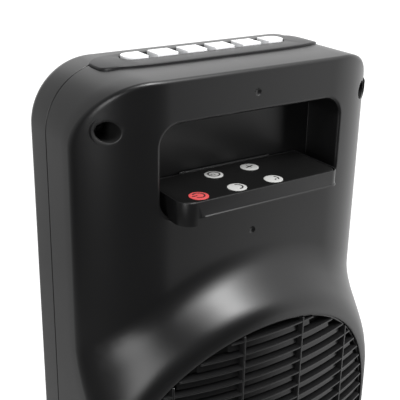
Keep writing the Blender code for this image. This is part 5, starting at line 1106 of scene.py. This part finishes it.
def make_base(looks):
    """Build the base cover, the turntable and the foot ring."""
    rise, run = BASE_HEIGHT - BASE_RIM, BASE_RADIUS - BASE_PLATEAU
    turns = [math.pi / 2 * step / BASE_STEPS for step in range(BASE_STEPS + 1)]
    under = (0, BASE_HEIGHT - BASE_WALL)
    profile = [under, (0, POST_HIGH), (POST_SEAT, POST_HIGH), (POST_RADIUS, POST_HIGH),
               (POST_RADIUS, BASE_HEIGHT)]
    profile += [(BASE_PLATEAU + run * math.sin(turn), BASE_RIM + rise * math.cos(turn)) for turn in turns]
    profile += [(BASE_RADIUS, PLATE_LOW + BASE_CHAMFER), (BASE_RADIUS - BASE_CHAMFER, PLATE_LOW),
                (BASE_RADIUS - BASE_WALL, PLATE_LOW)]
    profile += [(BASE_PLATEAU + (run - BASE_WALL) * math.sin(turn),
                 BASE_RIM + (rise - BASE_WALL) * math.cos(turn)) for turn in reversed(turns)]
    profile.append(under)
    settle(turned("base_shell", profile, steps=RING_STEPS), "base", "case_black", looks, "base_cover")
    inner, ceiling = TURNTABLE_RADIUS - TURNTABLE_WALL, TURNTABLE_HIGH - TURNTABLE_WALL
    ring = [(TURNTABLE_BORE, ceiling), (inner, ceiling), (inner, TURNTABLE_LOW),
            (TURNTABLE_RADIUS, TURNTABLE_LOW)]
    ring += [(TURNTABLE_RADIUS - TURNTABLE_EDGE * (1 - math.cos(turn)),
              TURNTABLE_HIGH - TURNTABLE_EDGE * (1 - math.sin(turn))) for turn in turns[::3]]
    ring += [(TURNTABLE_NECK, TURNTABLE_HIGH), (TURNTABLE_NECK, TURNTABLE_TOP),
             (TURNTABLE_BORE, TURNTABLE_TOP), (TURNTABLE_BORE, ceiling)]
    settle(turned("swivel_table", ring, steps=RING_STEPS), "tower", "case_black", looks, "turntable")
    pad = [(FOOT_INNER, FOOT_CHAMFER), (FOOT_INNER + FOOT_CHAMFER, 0), (FOOT_OUTER - FOOT_CHAMFER, 0),
           (FOOT_OUTER, FOOT_CHAMFER), (FOOT_OUTER, FOOT_HEIGHT), (FOOT_INNER, FOOT_HEIGHT),
           (FOOT_INNER, FOOT_CHAMFER)]
    settle(turned("foot_pad", pad, steps=RING_STEPS), "base", "rubber_black", looks, "foot_ring")


def make_screws(looks):
    """Build the case screws in their wells, one modelled and the others copied."""
    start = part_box("case_screw_1")[0].y
    head = WELL_FLOOR + GAP
    profile = [(radius, start + height) for radius, height in SCREW_TIP]
    profile += [(radius, head + height) for radius, height in SCREW_HEAD]
    screw = turned("screw", profile, "Y", (0, 0), SCREW_STEPS)
    for wide, tall in ((CROSS_HALF, CROSS_WIDTH / 2), (CROSS_WIDTH / 2, CROSS_HALF)):
        carve(screw, block("cutter", (-wide, head + CROSS_FLOOR, -tall), (wide, head + CUT_PAST, tall)))
    for index in range(SCREW_COUNT):
        node = f"case_screw_{index + 1}"
        near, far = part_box(node)
        piece = duplicate(screw, ((near.x + far.x) / 2, 0, (near.z + far.z) / 2))
        piece.name = f"case_bolt_{index + 1}"
        settle(piece, "tower", "screw_steel", looks, node)
    bpy.data.objects.remove(screw)


# Grain, wear and gloss that the finishes share
FINE_DETAIL = 3.0
BROAD_SCALE = 14.0
BROAD_DETAIL = 4.0
WEAR_START = 0.53
WEAR_FULL = 0.62
WORN_FACTOR = 3
WORN_LIFT = 0.02
WORN_MOST = 0.9
GLOSS_CHANGE = 0.03
GRAIN_HEIGHT = 0.00005
COAT_ROUGHNESS = 0.15


def fill(tree, node, inputs):
    """Set a node's inputs, or link them to outputs of other nodes."""
    for name, value in inputs.items():
        if isinstance(value, bpy.types.NodeSocket):
            tree.links.new(value, node.inputs[name])
        else:
            node.inputs[name].default_value = value


def output_of(tree, kind, output, inputs=None, **settings):
    """Add a node with its settings and inputs, and give one of its outputs."""
    node = tree.nodes.new("ShaderNode" + kind)
    for name, value in settings.items():
        setattr(node, name, value)
    fill(tree, node, inputs or {})
    return node.outputs[output]


def either(tree, first, second):
    """Give the greater of two outputs."""
    return output_of(tree, "Math", "Value", {0: first, 1: second}, operation="MAXIMUM")


def mixed(tree, share, first, second):
    """Give the mix of two colours."""
    return output_of(tree, "Mix", "Result", {"Factor": share, "A": first, "B": second}, data_type="RGBA")


def scaled(colour, factor, lift=0.0, most=1.0):
    """Give a colour with its parts scaled, lifted and limited."""
    return (*[min(part * factor + lift, most) for part in colour], 1)


def finish_of(name, colour, roughness, metallic=0.0, grain=1500.0, bump=0.12, wear=0.0, specular=0.5,
              mottle=0.12, coat=0.0):
    """Make a finish with fine grain, a slight change of colour and gloss, and worn edges."""
    material = bpy.data.materials.new(name + FINISH)
    material.use_nodes = True
    tree = material.node_tree
    place = output_of(tree, "TexCoord", "Object")
    fine = output_of(tree, "TexNoise", "Fac", {"Vector": place, "Scale": grain, "Detail": FINE_DETAIL})
    broad = output_of(tree, "TexNoise", "Fac",
                      {"Vector": place, "Scale": BROAD_SCALE, "Detail": BROAD_DETAIL})
    tint = mixed(tree, broad, scaled(colour, 1 - mottle), scaled(colour, 1 + mottle))
    if wear:
        edges = output_of(tree, "NewGeometry", "Pointiness")
        worn = output_of(tree, "MapRange", "Result", {"Value": edges, "From Min": WEAR_START,
                                                      "From Max": WEAR_FULL, "To Max": wear})
        tint = mixed(tree, worn, tint, scaled(colour, WORN_FACTOR, WORN_LIFT, WORN_MOST))
    gloss = output_of(tree, "MapRange", "Result", {"Value": broad, "To Min": roughness - GLOSS_CHANGE,
                                                   "To Max": roughness + GLOSS_CHANGE})
    relief = output_of(tree, "Bump", "Normal", {"Height": fine, "Strength": bump, "Distance": GRAIN_HEIGHT})
    fill(tree, tree.nodes["Principled BSDF"], {
        "Base Color": tint, "Roughness": gloss, "Normal": relief, "Metallic": metallic,
        "Specular IOR Level": specular, "Coat Weight": coat, "Coat Roughness": COAT_ROUGHNESS})
    return material


def make_looks(colours):
    """Make every finish of the heater, by slot."""
    case = tuple(colours.case_colour)
    return {
        "case_black": finish_of("case_black", case, colours.case_gloss, wear=0.2),
        "grille_black": finish_of("grille_black", case, 0.30, wear=0.25),
        "panel_black": finish_of("panel_black", (0.012, 0.012, 0.013), 0.42, wear=0.2),
        "inner_black": finish_of("inner_black", (0.006, 0.006, 0.006), 0.6, bump=0.2),
        "key_silver": finish_of("key_silver", tuple(colours.key_colour), 0.34, grain=900.0, bump=0.08,
                                mottle=0.03),
        "button_white": finish_of("button_white", tuple(colours.button_colour), 0.42, mottle=0.04),
        "button_red": finish_of("button_red", tuple(colours.power_colour), 0.42, mottle=0.05),
        "sign_ink": finish_of("sign_ink", (0.02, 0.018, 0.018), 0.5),
        "remote_face": finish_of("remote_face", (0.006, 0.006, 0.006), 0.34, bump=0.03, specular=0.3),
        "remote_case": finish_of("remote_case", (0.012, 0.012, 0.012), 0.45),
        "window_smoked": finish_of("window_smoked", (0.010, 0.008, 0.008), 0.06, bump=0.02, coat=0.5),
        "rubber_black": finish_of("rubber_black", (0.016, 0.016, 0.016), 0.8, bump=0.4, grain=700.0),
        "screw_steel": finish_of("screw_steel", (0.12, 0.12, 0.125), 0.40, 1.0, grain=2500.0),
        "motor_steel": finish_of("motor_steel", (0.16, 0.16, 0.17), 0.5, 1.0, mottle=0.2),
        "cell_steel": finish_of("cell_steel", (0.62, 0.62, 0.62), 0.28, 1.0),
        "plate_steel": finish_of("plate_steel", (0.22, 0.22, 0.23), 0.45, 1.0, mottle=0.25),
        "board_green": finish_of("board_green", (0.015, 0.11, 0.045), 0.45, mottle=0.3),
        "heater_resin": finish_of("heater_resin", (0.42, 0.35, 0.23), 0.6, mottle=0.15, bump=0.3),
        "heater_aluminium": finish_of("heater_aluminium", (0.62, 0.63, 0.64), 0.4, 1.0, mottle=0.1),
    }


class Looks(dict):
    """Finishes by slot, found in the file."""

    def __missing__(self, name):
        """Find a finish by its slot."""
        return bpy.data.materials[name + FINISH]


class HeaterColours(bpy.types.PropertyGroup):
    """Colours and gloss of the heater."""

    case_colour: FloatVectorProperty(name="Case", description="Colour of the housings", subtype="COLOR",
                                     size=3, min=0.0, max=1.0, default=BLACK)
    case_gloss: FloatProperty(name="Case roughness", description="Roughness of the housings",
                              min=0.05, max=1.0, default=BLACK_ROUGHNESS,
                              subtype="FACTOR")
    key_colour: FloatVectorProperty(name="Keys", description="Colour of the keys on top",
                                    subtype="COLOR", size=3, min=0.0, max=1.0,
                                    default=(0.95, 0.955, 0.965))
    button_colour: FloatVectorProperty(name="Buttons", description="Colour of the remote's buttons",
                                       subtype="COLOR", size=3, min=0.0, max=1.0,
                                       default=(0.49, 0.49, 0.48))
    power_colour: FloatVectorProperty(name="Power button", description="Colour of the power button",
                                      subtype="COLOR", size=3, min=0.0, max=1.0,
                                      default=(0.60, 0.080, 0.083))


class HeaterSizes(bpy.types.PropertyGroup):
    """Counts and pitches of the grilles."""

    slat_count: IntProperty(name="Rear slats", description="Number of slats across the rear grille",
                            min=8, max=60, default=21)
    louvre_pitch: FloatProperty(name="Front louvre pitch", description="Distance between louvres",
                                min=0.004, max=0.02, default=LOUVRE_PITCH, subtype="DISTANCE",
                                unit="LENGTH")


class HeaterOperator:
    """What every operator of the heater shares."""

    bl_options = {"REGISTER", "UNDO"}

    def execute(self, context):
        self.build(context.scene.heater_sizes, context.scene.heater_colours, Looks())
        return {"FINISHED"}


class HEATER_OT_looks(HeaterOperator, bpy.types.Operator):
    """Make the heater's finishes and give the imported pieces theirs"""

    bl_idname = "heater.looks"
    bl_label = "Finishes"

    def build(self, sizes, colours, looks):
        made = make_looks(colours)
        slots = {piece["node"]: piece["material_slot"] for piece in frame["record"]["subparts"]}
        for node, item in frame["nodes"].items():
            for slot in item.material_slots:
                slot.material = made[slots[node]]


class HEATER_OT_rear_housing(HeaterOperator, bpy.types.Operator):
    """Build the rear housing"""

    bl_idname = "heater.rear_housing"
    bl_label = "Rear housing"

    def build(self, sizes, colours, looks):
        make_rear_housing(looks)


class HEATER_OT_front_housing(HeaterOperator, bpy.types.Operator):
    """Build the front housing"""

    bl_idname = "heater.front_housing"
    bl_label = "Front housing"

    def build(self, sizes, colours, looks):
        make_front_housing(looks)


class HEATER_OT_grilles(HeaterOperator, bpy.types.Operator):
    """Build the rear and front grilles"""

    bl_idname = "heater.grilles"
    bl_label = "Grilles"

    def build(self, sizes, colours, looks):
        make_intake_grille(looks, sizes.slat_count)
        make_outlet_grille(looks, sizes.louvre_pitch)


class HEATER_OT_heat_core(HeaterOperator, bpy.types.Operator):
    """Build the ceramic heater behind the front grille"""

    bl_idname = "heater.heat_core"
    bl_label = "Ceramic heater"

    def build(self, sizes, colours, looks):
        make_heat_core(looks)


class HEATER_OT_display(HeaterOperator, bpy.types.Operator):
    """Build the display's window"""

    bl_idname = "heater.display"
    bl_label = "Display"

    def build(self, sizes, colours, looks):
        make_display(looks)


class HEATER_OT_keys(HeaterOperator, bpy.types.Operator):
    """Build the panel on top and its keys"""

    bl_idname = "heater.keys"
    bl_label = "Panel and keys"

    def build(self, sizes, colours, looks):
        make_key_panel(looks)
        make_keys(looks)


class HEATER_OT_remote(HeaterOperator, bpy.types.Operator):
    """Build the remote and the tray that it lies in"""

    bl_idname = "heater.remote"
    bl_label = "Remote and tray"

    def build(self, sizes, colours, looks):
        make_tray(looks)
        make_remote(looks)


class HEATER_OT_base(HeaterOperator, bpy.types.Operator):
    """Build the base and the turntable"""

    bl_idname = "heater.base"
    bl_label = "Base"

    def build(self, sizes, colours, looks):
        make_base(looks)


class HEATER_OT_screws(HeaterOperator, bpy.types.Operator):
    """Build the screws of the case"""

    bl_idname = "heater.screws"
    bl_label = "Screws"

    def build(self, sizes, colours, looks):
        make_screws(looks)


class HEATER_OT_stage(HeaterOperator, bpy.types.Operator):
    """Set up the floor, the lamps, the surroundings and the camera"""

    bl_idname = "heater.stage"
    bl_label = "Stage"

    def build(self, sizes, colours, looks):
        make_floor()
        make_world()
        make_lamps()
        make_camera()


class HEATER_PT_panel(bpy.types.Panel):
    """Panel that lists the heater's settings and builders"""

    bl_idname = "HEATER_PT_panel"
    bl_label = "Tower Heater"
    bl_space_type = "VIEW_3D"
    bl_region_type = "UI"
    bl_category = "Heater"

    def draw(self, context):
        layout = self.layout
        for group in (context.scene.heater_sizes, context.scene.heater_colours):
            for name in group.__annotations__:
                layout.prop(group, name)
        for operator in STEPS:
            layout.operator(operator.bl_idname)


# Sizes and tones of the stage
WHITE = (1, 1, 1, 1)
FLOOR_RADIUS = 0.75
FLOOR_STEPS = 96
FLOOR_ROUGHNESS = 0.8
FLOOR_MIDDLE = (0.0, -0.25)
FLOOR_COLOUR = (0.58, 0.58, 0.58, 1.0)
FLOOR_MIRRORED_COLOUR = (0.42, 0.42, 0.42, 1.0)
FLOOR_SEEN_SHARE = 0.70
FLOOR_MIRRORED_SHARE = 0.07
DARK_SIDE = 0.048
WHITE_SIDES = (
    ("back_and_right", (-0.940, -0.342, 0.0), 0.19, 0.31, 1.25),
    ("back_left", (0.480, -0.831, 0.280), 0.58, 0.80, 0.52),
    ("above", (0.0, 0.0, 1.0), 0.80, 0.98, 0.42),
)
CAMERA_PLACE = (0.2556, 0.3676, 0.6698)
CAMERA_TURN = 0.5897
CAMERA_PITCH = 0.3638
CAMERA_ROLL = -0.0203
CAMERA_LENS = 74.86
CAMERA_SHIFT = -0.05
CAMERA_NEAR = 0.01
SENSOR_WIDTH = 36
LAMPS = (
    ("top_softbox", (-0.07, 0.45, 1.33), (0.0, 0.05, 0.42), 0.30, 0.30, 5.7),
    ("top_glow", (-0.07, 0.45, 1.36), (0.0, 0.05, 0.42), 0.80, 0.80, 6.5),
    ("left_softbox", (1.0, 0.63, 0.66), (0.0, 0.05, 0.35), 0.5, 0.55, 4.8),
)


def make_floor():
    """Make the pale floor, which shows white and keeps the heater's shadow."""
    floor = turned("floor", [(0, 0), (FLOOR_RADIUS, 0)], "Z", FLOOR_MIDDLE, FLOOR_STEPS)
    material = bpy.data.materials.new("floor_pale")
    material.use_nodes = True
    tree = material.node_tree
    rays = tree.nodes.new("ShaderNodeLightPath").outputs
    mirrored = either(tree, rays["Is Glossy Ray"], rays["Is Transmission Ray"])
    shares = [output_of(tree, "Math", "Value", {0: ray, 1: share}, operation="MULTIPLY")
              for ray, share in ((rays["Is Camera Ray"], FLOOR_SEEN_SHARE),
                                 (mirrored, FLOOR_MIRRORED_SHARE))]
    fill(tree, tree.nodes["Principled BSDF"], {
        "Base Color": mixed(tree, mirrored, FLOOR_COLOUR, FLOOR_MIRRORED_COLOUR),
        "Roughness": FLOOR_ROUGHNESS, "Emission Color": WHITE, "Emission Strength": either(tree, *shares)})
    floor.data.materials.append(material)


def make_world():
    """Make the white surroundings behind the heater, dark on the camera's side."""
    world = bpy.data.worlds.new("studio")
    bpy.context.scene.world = world
    world.use_nodes = True
    tree = world.node_tree
    place = output_of(tree, "TexCoord", "Generated")
    rays = tree.nodes.new("ShaderNodeLightPath").outputs
    level = either(tree, rays["Is Camera Ray"], rays["Is Transmission Ray"])
    for name, way, start, full, strength in WHITE_SIDES:
        toward = output_of(tree, "VectorMath", "Value", {0: place, 1: way}, operation="DOT_PRODUCT",
                           name=name)
        fade = output_of(tree, "MapRange", "Result", {
            "Value": toward, "From Min": start, "From Max": full, "To Min": DARK_SIDE,
            "To Max": strength}, interpolation_type="SMOOTHSTEP")
        level = either(tree, level, fade)
    fill(tree, tree.nodes["Background"], {"Strength": level, "Color": WHITE})


def aim(place, target):
    """Give the turn that points a lamp at a target."""
    return (Vector(target) - Vector(place)).to_track_quat("-Z", "Y").to_euler()


def make_lamps():
    """Make the soft lamps."""
    for name, place, target, width, height, power in LAMPS:
        bpy.ops.object.light_add(type="AREA", location=place, rotation=aim(place, target))
        lamp = bpy.context.object
        lamp.name = name
        lamp.data.shape = "RECTANGLE"
        lamp.data.size = width
        lamp.data.size_y = height
        lamp.data.energy = power


def make_camera():
    """Make the camera at the photograph's angle."""
    turn, pitch, roll = CAMERA_TURN, CAMERA_PITCH, CAMERA_ROLL
    ahead = Vector((-math.sin(turn), -math.cos(turn), 0))
    aside = Vector((-math.cos(turn), math.sin(turn), 0))
    down = Vector((0, 0, -1))
    forward = ahead * math.cos(pitch) + down * math.sin(pitch)
    sinking = down * math.cos(pitch) - ahead * math.sin(pitch)
    right = aside * math.cos(roll) + sinking * math.sin(roll)
    up = aside * math.sin(roll) - sinking * math.cos(roll)
    frame_axes = Matrix((right, up, -forward)).transposed().to_4x4()
    bpy.ops.object.camera_add(location=CAMERA_PLACE, rotation=frame_axes.to_euler())
    camera = bpy.context.object
    camera.data.lens = CAMERA_LENS
    camera.data.sensor_width = SENSOR_WIDTH
    camera.data.shift_y = CAMERA_SHIFT
    camera.data.clip_start = CAMERA_NEAR
    bpy.context.scene.camera = camera
    bpy.context.scene.view_settings.view_transform = "Standard"


STEPS = (HEATER_OT_looks, HEATER_OT_rear_housing, HEATER_OT_front_housing, HEATER_OT_grilles,
         HEATER_OT_heat_core, HEATER_OT_display, HEATER_OT_keys, HEATER_OT_remote, HEATER_OT_base,
         HEATER_OT_screws, HEATER_OT_stage)


def register():
    """Register the settings, the builders and the panel."""
    for group in (HeaterColours, HeaterSizes, *STEPS, HEATER_PT_panel):
        bpy.utils.register_class(group)
    bpy.types.Scene.heater_colours = PointerProperty(type=HeaterColours)
    bpy.types.Scene.heater_sizes = PointerProperty(type=HeaterSizes)


def unregister():
    """Take the settings, the builders and the panel away."""
    del bpy.types.Scene.heater_sizes
    del bpy.types.Scene.heater_colours
    for group in (HEATER_PT_panel, *reversed(STEPS), HeaterSizes, HeaterColours):
        bpy.utils.unregister_class(group)


def main():
    """Build everything in order."""
    register()
    for step in STEPS:
        getattr(bpy.ops.heater, step.bl_idname.split(".")[1])()


if __name__ == "__main__":
    main()
